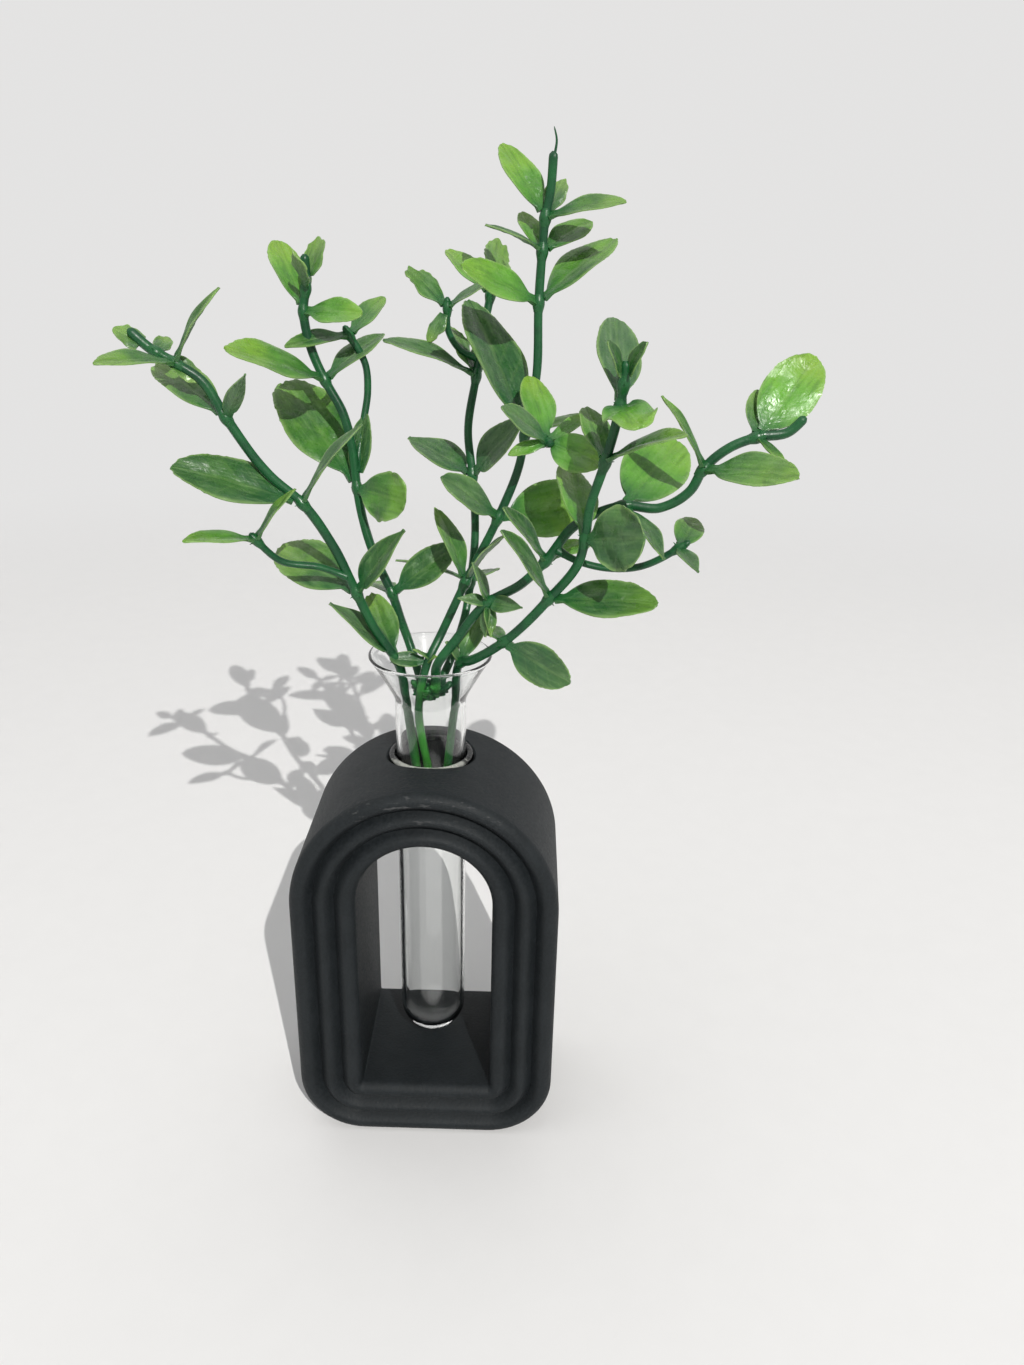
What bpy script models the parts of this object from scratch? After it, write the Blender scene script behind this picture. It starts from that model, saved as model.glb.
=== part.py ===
"""Arch vase: a ribbed printed arch that holds a flared glass tube with moulded sprigs of greenery.

Metres, +Z up. The origin is on the ground under the middle of the arch, the ribbed face looks
towards -Y, and the window goes through along Y. Routes and leaves of the sprigs are in units of
SPRIG_UNIT, a millimetre, and the routes start from the centre of the tube's rim.
"""

import math

import bmesh
import bpy
from mathutils import Matrix, Vector

for leftover in list(bpy.data.objects):
    bpy.data.objects.remove(leftover, do_unlink=True)

# The arch
ARCH_WIDTH = 0.075
ARCH_HEIGHT = 0.1165
ARCH_DEPTH = 0.045
WINDOW_WIDTH = 0.038
SILL_HEIGHT = 0.0174
CROWN_HEIGHT = 0.0165
FOOT_RADIUS = 0.019
SILL_CORNER_RADIUS = 0.0006
RIB_COUNT = 3
RIB_DEPTH = 0.003

# The tube, its seat ring and the hole that they stand in
TUBE_DIAMETER = 0.020
TUBE_WALL = 0.0012
TUBE_LENGTH = 0.128
TUBE_SETBACK = 0.0065
FLARE_HEIGHT = 0.014
FLARE_BEND = 0.15
MOUTH_DIAMETER = 0.0340
RING_SECTION = 0.0017
RING_DROP = 0.0017

# The sprigs, and the unit of their routes and leaves below
SPRIG_UNIT = 0.001
STEM_DIAMETER = 0.0023
STEM_TIP_DIAMETER = 0.0022
TWIG_DIAMETER = 0.0018
STEM_DEPTH = 0.036
SHORT_STEM_DEPTH = 0.010
STEM_WALL_CLEARANCE = 0.0006
KNOT_WIDTH = 0.0112
KNOT_THICKNESS = 0.0092
KNOT_HEIGHT = 0.0064
KNOT_FORWARD = 0.0015
COLLAR_WALL = 0.0006
COLLAR_LENGTH = 0.0026
LEAF_THICKNESS = 0.0008
LEAF_ASPECT = 0.44
LEAF_SHOULDER = 0.85
LEAF_FOLD = 0.24
LEAF_DROOP = 0.10
PETIOLE_WIDTH = 0.0018
PETIOLE_SHARE = 0.2
LEAF_TIP_SHARE = 0.16

GAP = 0.0003

# Facets
ARCH_TOP_STEPS = 20
ARCH_CORNER_STEPS = 5
RIB_STEPS = 6
TUBE_STEPS = 28
RING_STEPS = 24
RING_SIDES = 10
KNOT_ROUNDS = 3
LEAF_STEPS = 5
COLLAR_SIDES = 8
STEM_STEPS = 2

# What the sizes above settle
TUBE_RADIUS = TUBE_DIAMETER / 2
BORE_RADIUS = TUBE_RADIUS - TUBE_WALL
MOUTH_RADIUS = MOUTH_DIAMETER / 2
HOLE_RADIUS = TUBE_RADIUS + RING_SECTION + 2 * GAP
TUBE_FOOT = SILL_HEIGHT + GAP
RIM_HEIGHT = TUBE_FOOT + TUBE_LENGTH
RIM_CENTRE = Vector((0, TUBE_SETBACK, RIM_HEIGHT))
RING_HEIGHT = ARCH_HEIGHT - RING_DROP

# How many points a stem or a twig has before its route's own
STEM_LEAD_POINTS = 3
TWIG_LEAD_POINTS = 1

# Every sprig has the depth it reaches into the tube, its bearing round the tube's axis and how far it
# leans out (1 is against the glass) at its foot, its waist and the lip, its stem's route above the
# lip, the leaves at some of the route's points and its twigs. A point of the stem's route where
# leaves grow or a twig starts is counted with its fraction, and one before the route is negative.
# A leaf is (length, heading, rise, roll): units, then degrees.
# Bearing and heading turn from +X to the back, rise lifts the leaf off the horizontal and roll
# turns its upper face about its length.
SPRIGS = [
    dict(
        name="left_front",
        depth=STEM_DEPTH,
        foot=(195, 0.6),
        waist=(188, 1.0),
        lip=(209, 0.7),
        route=[
            (-11, -5.8, 3.5), (-14, -6.5, 8.5), (-18.5, -7.5, 19), (-24, -8.5, 32), (-31, -9.5, 43),
            (-38.5, -10.5, 50), (-48, -11.5, 64), (-53.5, -11.5, 73), (-59, -11.5, 76.5),
            (-65, -11.5, 80), (-69.5, -11.5, 84),
        ],
        leaves={
            -1: [(23, 180, 52, 0), (22, 125, 52, 20)],
            2: [(29, 150, 26, 32), (23, 335, 56, -65)],
            4: [(32, 200, 23, 40), (27, 335, 60, -25)],
            6: [(26, 150, 30, 15), (18, 310, 45, -65)],
            8: [(22, 240, 12, 10), (24, 325, 58, -40)],
            8.7: [(17, 150, 32, 10), (9, 90, 20, -25)],
        },
        twigs=[
            dict(
                start=2.35,
                route=[(-27, -9.5, 26.5), (-37, -12.5, 29), (-42, -14.5, 34.5), (-43.5, -15, 36.5)],
                leaves={2: [(20, 230, 18, 15), (18, 330, 58, -25)]},
            ),
        ],
    ),
    dict(
        name="left_rear",
        depth=SHORT_STEM_DEPTH,
        foot=(154, 0.4),
        waist=(135, 0.92),
        lip=(131, 0.7),
        route=[
            (-9, 9, 6), (-11.5, 10, 13.5), (-16, 11.5, 23), (-19.5, 13.5, 33.5), (-21, 14.5, 42),
            (-22, 15.5, 52), (-24.5, 16.5, 62), (-29, 17.5, 70), (-32.5, 18.5, 78), (-34, 18.5, 87),
            (-33, 18.5, 94), (-33, 18.5, 101),
        ],
        leaves={
            1: [(22, 5, 40, -60), (18, 115, 0, 0)],
            4: [(38, 145, 48, 20), (20, 315, 0, -70)],
            7: [(29, 225, 23, 35), (22, 40, 38, 0)],
            9: [(18, 330, 5, -50), (22, 125, 56, -10)],
            9.8: [(18, 50, 55, 0), (12, 270, 45, 40)],
        },
        twigs=[
            dict(
                start=4.4,
                route=[
                    (-19.5, 20.5, 59.5), (-18.5, 22.5, 67), (-19, 23.5, 73.5), (-23, 23.5, 81),
                    (-24.5, 23.5, 83.5),
                ],
                leaves={3: [(18, 215, 0, 30), (16, 50, 42, -15)]},
            ),
        ],
    ),
    dict(
        name="rear",
        depth=SHORT_STEM_DEPTH,
        foot=(30, 0.36),
        waist=(42, 0.9),
        lip=(52, 0.75),
        route=[
            (8.5, 13, 5.5), (10, 18, 15), (11, 21.5, 26.5), (10, 25.5, 44), (8.5, 28.5, 56),
            (10.5, 31.5, 70.5), (12.5, 34, 84), (14, 35.5, 91.5), (14.5, 36, 96),
        ],
        leaves={
            1: [(23, 160, 20, -15), (16, 65, 5, 15)],
            3: [(24, 150, 25, 20), (24, 325, 50, -65)],
            5: [(28, 210, 28, 25), (14, 70, 30, 30)],
            7: [(20, 140, 40, 10), (20, 80, 45, -45)],
        },
        twigs=[
            dict(
                start=5.35,
                route=[(6.5, 31.5, 77), (2.7, 31.5, 82.5), (2.5, 31.5, 88), (2.5, 31.5, 91)],
                leaves={2: [(16, 150, 40, 25), (14, 345, 38, -30)]},
            ),
        ],
    ),
    dict(
        name="centre",
        depth=STEM_DEPTH,
        foot=(250, 0.25),
        waist=(230, 0.65),
        lip=(270, 0.36),
        route=[
            (3, -2, 6), (9.5, -0.5, 20.5), (18, 1.5, 38), (23.5, 2.5, 53), (24.5, 3.5, 59.5),
            (27, 5.5, 74), (27, 7.5, 91), (27.5, 8.5, 103), (28, 8.5, 110.5), (29, 8.5, 116),
            (29.5, 8.5, 125),
        ],
        leaves={
            1: [(23, 120, 55, -20), (20, 320, 58, -20)],
            2: [(20, 215, 40, 60), (26, 25, 5, -75)],
            4: [(36, 135, 60, 0), (22, 30, 15, 0)],
            6: [(25, 215, 25, 55), (27, 30, 40, -15)],
            7: [(16, 210, 30, 35), (17, 35, 30, -30), (14, 120, 45, 5)],
            8: [(21, 130, 60, 20), (20, 335, 18, -35), (12, 60, 40, -15)],
        },
        twigs=[
            dict(
                start=4.3,
                route=[(27, -2, 61), (30, -10, 60), (31, -13, 60)],
                leaves={
                    1: [(20, 110, 50, 0), (17, 316, -8, -60), (15, 210, 40, 55), (10, 195, -12, 50)],
                },
            ),
        ],
    ),
    dict(
        name="right_long",
        depth=SHORT_STEM_DEPTH,
        foot=(295, 0.62),
        waist=(288, 0.9),
        lip=(286, 0.65),
        route=[
            (7.5, -8.5, 7), (16, -10.5, 18.5), (24.5, -11.5, 24), (30.5, -12.5, 30.5),
            (37.5, -14.5, 40.5), (49, -15.5, 46), (58, -16.5, 46), (65, -16.5, 50.5),
            (67.5, -16.5, 55.5), (73.5, -16.5, 61), (79.5, -16.5, 63.5), (87, -16.5, 65),
            (90.5, -16.5, 68.5),
        ],
        leaves={
            1: [(12, 215, 72, 55), (11, 320, 8, -60)],
            3: [(20, 225, 55, 55), (20, 50, 10, 0)],
            5: [(29, 55, 25, -30), (21, 300, -30, 20)],
            8: [(25, 315, 10, -35), (24, 215, 62, 45)],
            10: [(27, 40, 54, -45), (13, 85, 55, 0), (11, 305, -20, 5)],
        },
        twigs=[
            dict(
                start=3.35,
                route=[(37, -14, 32), (54, -16.5, 31), (63, -18.5, 36.5), (65.5, -19, 38.5)],
                leaves={2: [(15, 65, 22, -20), (11, 290, -10, 0)]},
            ),
        ],
    ),
    dict(
        name="right_front",
        depth=STEM_DEPTH,
        foot=(340, 0.68),
        waist=(352, 1.0),
        lip=(324, 0.75),
        route=[
            (11.5, -10, 2), (20.5, -16.5, 10), (31.5, -21.5, 23.5), (38.5, -24.5, 34.5),
            (39.5, -26, 40), (40, -27, 47), (43, -28.5, 59), (45.5, -29.5, 71.5), (46, -30, 76.5),
            (46, -30.5, 81.5),
        ],
        leaves={
            -1: [(16, 60, 52, -10), (7, 175, 60, 20)],
            1: [(21, 320, -15, -75), (13, 115, 5, 0)],
            2: [(27, 340, 9, -35), (23, 220, 60, 50)],
            4: [(24, 300, 15, -85), (25, 100, 40, -20)],
            6: [(24, 310, 30, -25), (18, 105, 40, -10)],
            7: [(20, 280, 8, -12), (26, 90, 48, -20)],
            8: [(12, 240, 46, 70), (12, 290, 46, -70)],
        },
        twigs=[],
    ),
]

PARTS = bpy.data.collections.new("arch_vase")
bpy.context.scene.collection.children.link(PARTS)
CUTTERS = bpy.data.collections.new("cutters")
bpy.context.scene.collection.children.link(CUTTERS)


def material(name, colour, roughness, alpha=1.0):
    """A Principled material."""
    made = bpy.data.materials.new(name)
    made.use_nodes = True
    shader = made.node_tree.nodes["Principled BSDF"]
    shader.inputs["Base Color"].default_value = (*colour, 1)
    shader.inputs["Roughness"].default_value = roughness
    shader.inputs["Alpha"].default_value = alpha
    return made


def add_part(name, mesh, look, location=(0, 0, 0)):
    """A named part of the vase."""
    part = bpy.data.objects.new(name, mesh)
    part.location = location
    part.data.materials.append(look)
    PARTS.objects.link(part)
    return part


def add_cutter(name, mesh, location=(0, 0, 0)):
    """A shape that only cuts or joins the parts."""
    cutter = bpy.data.objects.new(name, mesh)
    cutter.location = location
    cutter.hide_render = True
    cutter.display_type = "WIRE"
    CUTTERS.objects.link(cutter)
    return cutter


def boolean(part, other, operation):
    """Cut or join another object, as a live modifier."""
    modifier = part.modifiers.new(f"{operation.lower()} {other.name}", "BOOLEAN")
    modifier.operation = operation
    modifier.solver = "EXACT"
    modifier.object = other


def mesh_from(name, build):
    """A mesh that build(bm) fills, with its faces pointing out."""
    bm = bmesh.new()
    build(bm)
    bmesh.ops.recalc_face_normals(bm, faces=bm.faces)
    mesh = bpy.data.meshes.new(name)
    bm.to_mesh(mesh)
    bm.free()
    return mesh


def smooth(mesh, degrees=40):
    """Shade smooth, with the sharp edges kept."""
    mesh.shade_smooth()
    mesh.set_sharp_from_angle(angle=math.radians(degrees))


def lerp(start, end, share):
    """The value a share of the way from start to end."""
    return start + (end - start) * share


def arc(centre_x, centre_z, radius, start, end, steps):
    """Points on an arc in the XZ plane, angles in degrees from +X to +Z."""
    points = []
    for step in range(steps + 1):
        angle = math.radians(lerp(start, end, step / steps))
        points.append((centre_x + radius * math.cos(angle), centre_z + radius * math.sin(angle)))
    return points


def arch_outline(share):
    """The arch's outline from the window's edge (share 0) to its outside (share 1)."""
    half = lerp(WINDOW_WIDTH, ARCH_WIDTH, share) / 2
    bottom = lerp(SILL_HEIGHT, 0, share)
    top = lerp(ARCH_HEIGHT - CROWN_HEIGHT, ARCH_HEIGHT, share)
    corner = lerp(SILL_CORNER_RADIUS, FOOT_RADIUS, share)
    inset = half - corner
    right = arc(inset, bottom + corner, corner, -90, 0, ARCH_CORNER_STEPS)
    over = arc(0, top - half, half, 0, 180, ARCH_TOP_STEPS)
    left = arc(-inset, bottom + corner, corner, 180, 270, ARCH_CORNER_STEPS)
    return right + over + left


def arch_sections():
    """(share, y) of every outline from the back of the window, over the ribs, to the outer back."""
    front = -ARCH_DEPTH / 2
    groove = front + RIB_DEPTH
    sections = [(0, ARCH_DEPTH / 2), (0, groove)]
    for rib in range(RIB_COUNT):
        for step in range(1, RIB_STEPS + 1):
            angle = math.pi * step / RIB_STEPS
            share = (rib + (1 - math.cos(angle)) / 2) / RIB_COUNT
            sections.append((share, groove - RIB_DEPTH * math.sin(angle)))
    sections.append((1, ARCH_DEPTH / 2))
    return sections


def fill_arch(bm):
    """Loft the outlines into a closed ring."""
    rings = []
    for share, y in arch_sections():
        rings.append([bm.verts.new((x, y, z)) for x, z in arch_outline(share)])
    for ring, following in zip(rings, rings[1:] + rings[:1]):
        for index in range(len(ring)):
            after = (index + 1) % len(ring)
            bm.faces.new((ring[index], ring[after], following[after], following[index]))


def make_arch(look):
    """The ribbed arch, with the hole for the tube through its crown."""
    mesh = mesh_from("arch_frame", fill_arch)
    smooth(mesh)
    arch = add_part("arch_frame", mesh, look)
    depth = 2 * CROWN_HEIGHT
    middle = ARCH_HEIGHT - CROWN_HEIGHT / 2

    def fill_hole(bm):
        bmesh.ops.create_cone(
            bm, cap_ends=True, segments=TUBE_STEPS, radius1=HOLE_RADIUS, radius2=HOLE_RADIUS,
            depth=depth,
        )

    hole = add_cutter("tube_hole", mesh_from("tube_hole", fill_hole), (0, TUBE_SETBACK, middle))
    boolean(arch, hole, "DIFFERENCE")


def turned(name, profile, look, height, steps, closed=False):
    """A turned part on the tube's axis from (radius, height) points down its outside."""
    mesh = bpy.data.meshes.new(name)
    points = [(radius, 0, z) for radius, z in profile]
    edges = [(index, index + 1) for index in range(len(points) - 1)]
    if closed:
        edges.append((len(points) - 1, 0))
    mesh.from_pydata(points, edges, [])
    part = add_part(name, mesh, look, (0, TUBE_SETBACK, height))
    screw = part.modifiers.new("turn", "SCREW")
    screw.steps = steps
    screw.render_steps = steps
    screw.use_merge_vertices = True
    screw.merge_threshold = 0.00001
    screw.use_smooth_shade = True
    return part


def flare(share):
    """How far the mouth's cone has opened, 0 to 1, a share of the way up it."""
    return (math.hypot(share, FLARE_BEND) - FLARE_BEND) / (math.hypot(1, FLARE_BEND) - FLARE_BEND)


def make_tube(look):
    """The glass tube: round bottom, straight wall, cone mouth with a rounded lip."""
    flare_start = TUBE_LENGTH - FLARE_HEIGHT
    lip = TUBE_WALL / 2
    opening = MOUTH_RADIUS - TUBE_RADIUS
    cone_height = FLARE_HEIGHT - lip
    bottom = [0, 18, 36, 54, 72, 90]
    rise = [0.1, 0.2, 0.35, 0.65, 0.98]
    inside = []
    for angle in bottom:
        turn = math.radians(angle)
        inside.append((BORE_RADIUS * math.sin(turn), TUBE_RADIUS - BORE_RADIUS * math.cos(turn)))
    inside.append((BORE_RADIUS, flare_start))
    for share in rise:
        inside.append((BORE_RADIUS + opening * flare(share), flare_start + cone_height * share))
    lip_centre = (BORE_RADIUS + opening + lip, TUBE_LENGTH - lip)
    over = [(lip_centre[0] + x, lip_centre[1] + z) for x, z in arc(0, 0, lip, 180, 0, 4)]
    outside = []
    for share in reversed(rise):
        outside.append((TUBE_RADIUS + opening * flare(share), flare_start + cone_height * share))
    outside.append((TUBE_RADIUS, flare_start))
    for angle in reversed(bottom):
        turn = math.radians(angle)
        outside.append((TUBE_RADIUS * math.sin(turn), TUBE_RADIUS - TUBE_RADIUS * math.cos(turn)))
    turned("glass_tube", inside + over + outside, look, TUBE_FOOT, TUBE_STEPS)


def make_ring(look):
    """The clear ring that keeps the tube in the middle of the hole."""
    centre = TUBE_RADIUS + GAP + RING_SECTION / 2
    section = arc(centre, 0, RING_SECTION / 2, 90, -270, RING_SIDES)[:-1]
    turned("seat_ring", section, look, RING_HEIGHT, RING_STEPS, closed=True)


def smooth_route(points):
    """A function of the point's number, fraction included, along a curve through the points."""
    spans = [(after - before).length for before, after in zip(points, points[1:])]
    slopes = []
    for index in range(len(points)):
        if index == 0:
            slopes.append((points[1] - points[0]) / spans[0])
        elif index == len(points) - 1:
            slopes.append((points[-1] - points[-2]) / spans[-1])
        else:
            before = (points[index] - points[index - 1]) / spans[index - 1]
            after = (points[index + 1] - points[index]) / spans[index]
            weight = spans[index - 1] / (spans[index - 1] + spans[index])
            slopes.append(before.lerp(after, weight))

    def at(number):
        index = min(int(number), len(spans) - 1)
        t = number - index
        ease = 3 * t ** 2 - 2 * t ** 3
        leave = spans[index] * (t ** 3 - 2 * t ** 2 + t)
        arrive = spans[index] * (t ** 3 - t ** 2)
        straight = points[index].lerp(points[index + 1], ease)
        return straight + slopes[index] * leave + slopes[index + 1] * arrive

    return at


def rod_mesh(name, points, radii):
    """A closed round rod along points, with a radius at each."""
    curve = bpy.data.curves.new(name, "CURVE")
    curve.dimensions = "3D"
    curve.bevel_depth = 1
    curve.bevel_resolution = 2
    curve.use_fill_caps = True
    spline = curve.splines.new("POLY")
    spline.points.add(len(points) - 1)
    for knot, point, radius in zip(spline.points, points, radii):
        knot.co = (*point, 1)
        knot.radius = radius
    rod = bpy.data.objects.new(name, curve)
    CUTTERS.objects.link(rod)
    graph = bpy.context.evaluated_depsgraph_get()
    mesh = bpy.data.meshes.new_from_object(rod.evaluated_get(graph))
    bpy.data.objects.remove(rod)
    bm = bmesh.new()
    bm.from_mesh(mesh)
    bmesh.ops.remove_doubles(bm, verts=bm.verts, dist=0.000001)
    bmesh.ops.recalc_face_normals(bm, faces=bm.faces)
    bm.to_mesh(mesh)
    bm.free()
    return mesh


class Rod:
    """A stem or twig: its smooth route, the points on it and the radius at each."""

    def __init__(self, points, foot_radius, tip_radius):
        self.at = smooth_route(points)
        self.last = len(points) - 1
        self.foot_radius = foot_radius
        self.tip_radius = tip_radius
        count = self.last * STEM_STEPS
        self.numbers = [self.last * step / count for step in range(count + 1)]

    def radius(self, number):
        """The rod's radius at a point of its route."""
        return lerp(self.foot_radius, self.tip_radius, number / self.last)

    def direction(self, number):
        """The way the rod runs at a point of its route."""
        step = 0.01
        return (self.at(number + step) - self.at(number - step)).normalized()

    def mesh(self, name, extra=0.0):
        """The rod as a mesh, fatter and longer at both ends by extra."""
        points = [self.at(number) for number in self.numbers]
        radii = [self.radius(number) + extra for number in self.numbers]
        points[0] = points[0] - self.direction(0) * extra
        points[-1] = points[-1] + self.direction(self.last) * extra
        return rod_mesh(name, points, radii)


def rim_point(point):
    """A point in sprig units from the rim's centre, as a place in the model."""
    return RIM_CENTRE + Vector(point) * SPRIG_UNIT


def axis_point(out, bearing, height):
    """A point out from the tube's axis, at a height over the rim."""
    angle = math.radians(bearing)
    return RIM_CENTRE + Vector((out * math.cos(angle), out * math.sin(angle), height))


def main_rod(sprig):
    """The sprig's stem, from its foot in the tube, over the lip and along its route."""
    in_bore = BORE_RADIUS - STEM_DIAMETER / 2 - STEM_WALL_CLEARANCE
    in_mouth = MOUTH_RADIUS - TUBE_WALL - STEM_DIAMETER / 2
    depth = sprig["depth"]
    leads = [
        (in_bore, sprig["foot"], -depth),
        (in_bore, sprig["waist"], -min(FLARE_HEIGHT, depth / 2)),
        (in_mouth, sprig["lip"], 0),
    ]
    points = [axis_point(room * lean, bearing, height) for room, (bearing, lean), height in leads]
    points += [rim_point(point) for point in sprig["route"]]
    return Rod(points, STEM_DIAMETER / 2, STEM_TIP_DIAMETER / 2)


def twig_rod(twig, stem):
    """A twig that leaves its stem's middle."""
    start = stem.at(twig["start"] + STEM_LEAD_POINTS)
    points = [start] + [rim_point(point) for point in twig["route"]]
    return Rod(points, TWIG_DIAMETER / 2, TWIG_DIAMETER / 2)


def fill_leaf(bm, leaf, place):
    """A folded, drooping leaf that starts at place, on the stem's axis."""
    length, heading, rise, roll = leaf
    length = length * SPRIG_UNIT
    widest = length * LEAF_ASPECT / 2
    bmesh.ops.create_grid(bm, x_segments=LEAF_STEPS, y_segments=2, size=1)
    for vert in bm.verts:
        along = (vert.co.x + 1) / 2
        across = vert.co.y
        spread = max(0, (along - PETIOLE_SHARE) / (1 - PETIOLE_SHARE))
        rounded = math.sqrt(max(0, math.sin(math.pi * spread ** LEAF_SHOULDER)))
        if along > 0.99:
            rounded = LEAF_TIP_SHARE
        half = max(widest * rounded, PETIOLE_WIDTH / 2)
        fold = LEAF_FOLD * half * abs(across)
        droop = LEAF_DROOP * length * along ** 2
        vert.co = (along * length, across * half, fold - droop)
    bmesh.ops.solidify(bm, geom=bm.faces, thickness=LEAF_THICKNESS)
    bmesh.ops.translate(bm, verts=bm.verts, vec=(0, 0, LEAF_THICKNESS / 2))
    turn = (
        Matrix.Rotation(math.radians(heading), 4, "Z")
        @ Matrix.Rotation(math.radians(-rise), 4, "Y")
        @ Matrix.Rotation(math.radians(-roll), 4, "X")
    )
    bmesh.ops.transform(bm, matrix=Matrix.Translation(place) @ turn, verts=bm.verts)


def make_leaves(name, leaves, rod, number, fat_stem, look):
    """A collar on the rod with its leaves, clear of the stem that it is threaded on."""
    place = rod.at(number)
    outer = rod.radius(number) + GAP + COLLAR_WALL
    turn = rod.direction(number).to_track_quat("Z", "Y").to_matrix().to_4x4()

    def fill_collar(bm):
        bmesh.ops.create_cone(
            bm, cap_ends=True, segments=COLLAR_SIDES, radius1=outer, radius2=outer,
            depth=COLLAR_LENGTH, matrix=Matrix.Translation(place) @ turn,
        )

    mesh = mesh_from(name, fill_collar)
    part = add_part(name, mesh, look)
    for index, leaf in enumerate(leaves):
        blade = mesh_from(f"{name}_blade_{index}", lambda bm: fill_leaf(bm, leaf, place))
        boolean(part, add_cutter(blade.name, blade), "UNION")
    boolean(part, fat_stem, "DIFFERENCE")


def make_sprig(sprig, stem_look, leaf_look):
    """One stem with its twigs, and the leaves threaded on them."""
    name = sprig["name"]
    stem = main_rod(sprig)
    part = add_part(f"{name}_stem", stem.mesh(f"{name}_stem"), stem_look)
    fat_stem = add_cutter(f"{name}_fat_stem", stem.mesh(f"{name}_fat_stem", GAP))
    groups = [(stem, STEM_LEAD_POINTS, sprig["leaves"])]
    for index, twig in enumerate(sprig["twigs"]):
        rod = twig_rod(twig, stem)
        label = f"{name}_twig_{index}"
        boolean(part, add_cutter(label, rod.mesh(label)), "UNION")
        boolean(fat_stem, add_cutter(f"{label}_fat", rod.mesh(f"{label}_fat", GAP)), "UNION")
        groups.append((rod, TWIG_LEAD_POINTS, twig["leaves"]))
    count = 0
    for rod, offset, leaves_at in groups:
        for number, leaves in leaves_at.items():
            count += 1
            make_leaves(f"{name}_leaves_{count}", leaves, rod, number + offset, fat_stem, leaf_look)
    return fat_stem


def make_knot(look, fat_stems):
    """The moulded knot in the mouth of the tube, with a socket for every stem."""

    def fill_knot(bm):
        bmesh.ops.create_icosphere(bm, subdivisions=KNOT_ROUNDS, radius=0.5)
        bmesh.ops.scale(bm, verts=bm.verts, vec=(KNOT_WIDTH, KNOT_THICKNESS, KNOT_HEIGHT))
        place = RIM_CENTRE - Vector((0, KNOT_FORWARD, SHORT_STEM_DEPTH))
        bmesh.ops.translate(bm, verts=bm.verts, vec=place)

    mesh = mesh_from("bunch_knot", fill_knot)
    smooth(mesh)
    knot = add_part("bunch_knot", mesh, look)
    for fat_stem in fat_stems:
        boolean(knot, fat_stem, "DIFFERENCE")


def main():
    """Build the vase."""
    make_arch(material("matte_black", (0.02, 0.021, 0.023), 0.7))
    make_tube(material("clear_glass", (0.95, 0.97, 0.97), 0.03, 0.25))
    make_ring(material("clear_silicone", (0.8, 0.82, 0.8), 0.3, 0.5))
    stem_look = material("stem_green", (0.012, 0.10, 0.03), 0.4)
    leaf_look = material("leaf_green", (0.09, 0.26, 0.05), 0.35)
    make_knot(stem_look, [make_sprig(sprig, stem_look, leaf_look) for sprig in SPRIGS])


main()
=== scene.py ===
"""Looks of the arch vase: a ribbed print, a flared glass tube, its clear ring and moulded greenery.

Metres, +Z up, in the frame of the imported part. Routes and leaves of the sprigs are in millimetres,
and the routes start from the centre of the tube's rim.
"""

import random
from collections import namedtuple
from functools import cached_property
from math import atan2, ceil, copysign, cos, exp, hypot, pi, radians, sin, sqrt

import bmesh
import bpy
from mathutils import Matrix, Vector, noise


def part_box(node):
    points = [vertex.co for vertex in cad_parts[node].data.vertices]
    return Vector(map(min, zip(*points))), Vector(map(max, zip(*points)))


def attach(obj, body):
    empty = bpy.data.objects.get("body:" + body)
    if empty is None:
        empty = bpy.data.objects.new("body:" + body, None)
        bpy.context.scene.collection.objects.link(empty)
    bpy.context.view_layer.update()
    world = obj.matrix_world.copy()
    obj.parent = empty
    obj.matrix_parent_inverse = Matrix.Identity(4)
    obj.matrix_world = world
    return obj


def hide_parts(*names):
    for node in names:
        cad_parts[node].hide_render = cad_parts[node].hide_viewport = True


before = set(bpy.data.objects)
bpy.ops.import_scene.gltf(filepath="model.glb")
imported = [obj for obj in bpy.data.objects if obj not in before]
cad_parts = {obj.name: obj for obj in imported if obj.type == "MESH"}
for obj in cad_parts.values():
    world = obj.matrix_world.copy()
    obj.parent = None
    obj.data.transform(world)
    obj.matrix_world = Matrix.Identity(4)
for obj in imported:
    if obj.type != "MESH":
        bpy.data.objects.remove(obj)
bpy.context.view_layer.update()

MM = 0.001
FULL_TURN = 2 * pi
MERGE_DISTANCE = 1e-7

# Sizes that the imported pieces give
ARCH_LOW, ARCH_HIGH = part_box("arch_frame")
TUBE_LOW, TUBE_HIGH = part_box("glass_tube")
RING_LOW, RING_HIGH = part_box("seat_ring")
KNOT_LOW, KNOT_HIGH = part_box("bunch_knot")
ARCH_WIDTH = ARCH_HIGH.x - ARCH_LOW.x
ARCH_HEIGHT = ARCH_HIGH.z
TUBE_SETBACK = (RING_LOW.y + RING_HIGH.y) / 2
TUBE_LENGTH = TUBE_HIGH.z - TUBE_LOW.z
MOUTH_RADIUS = TUBE_HIGH.x
RING_SECTION = RING_HIGH.z - RING_LOW.z
RING_HEIGHT = (RING_HIGH.z + RING_LOW.z) / 2
RIM_CENTRE = Vector((0, TUBE_SETBACK, TUBE_HIGH.z))

# The arch
WINDOW_WIDTH = 0.038
SILL_HEIGHT = 0.0174
CROWN_HEIGHT = 0.0165
FOOT_RADIUS = 0.019
SILL_CORNER_RADIUS = 0.0006
RIB_COUNT = 3
RIB_DEPTH = 0.003
GROOVE_SOFTNESS = 1.15
BACK_EDGE_SHARE = 0.03
BACK_EDGE_RADIUS = 0.0005
HOLE_CHAMFER = 0.0006

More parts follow.
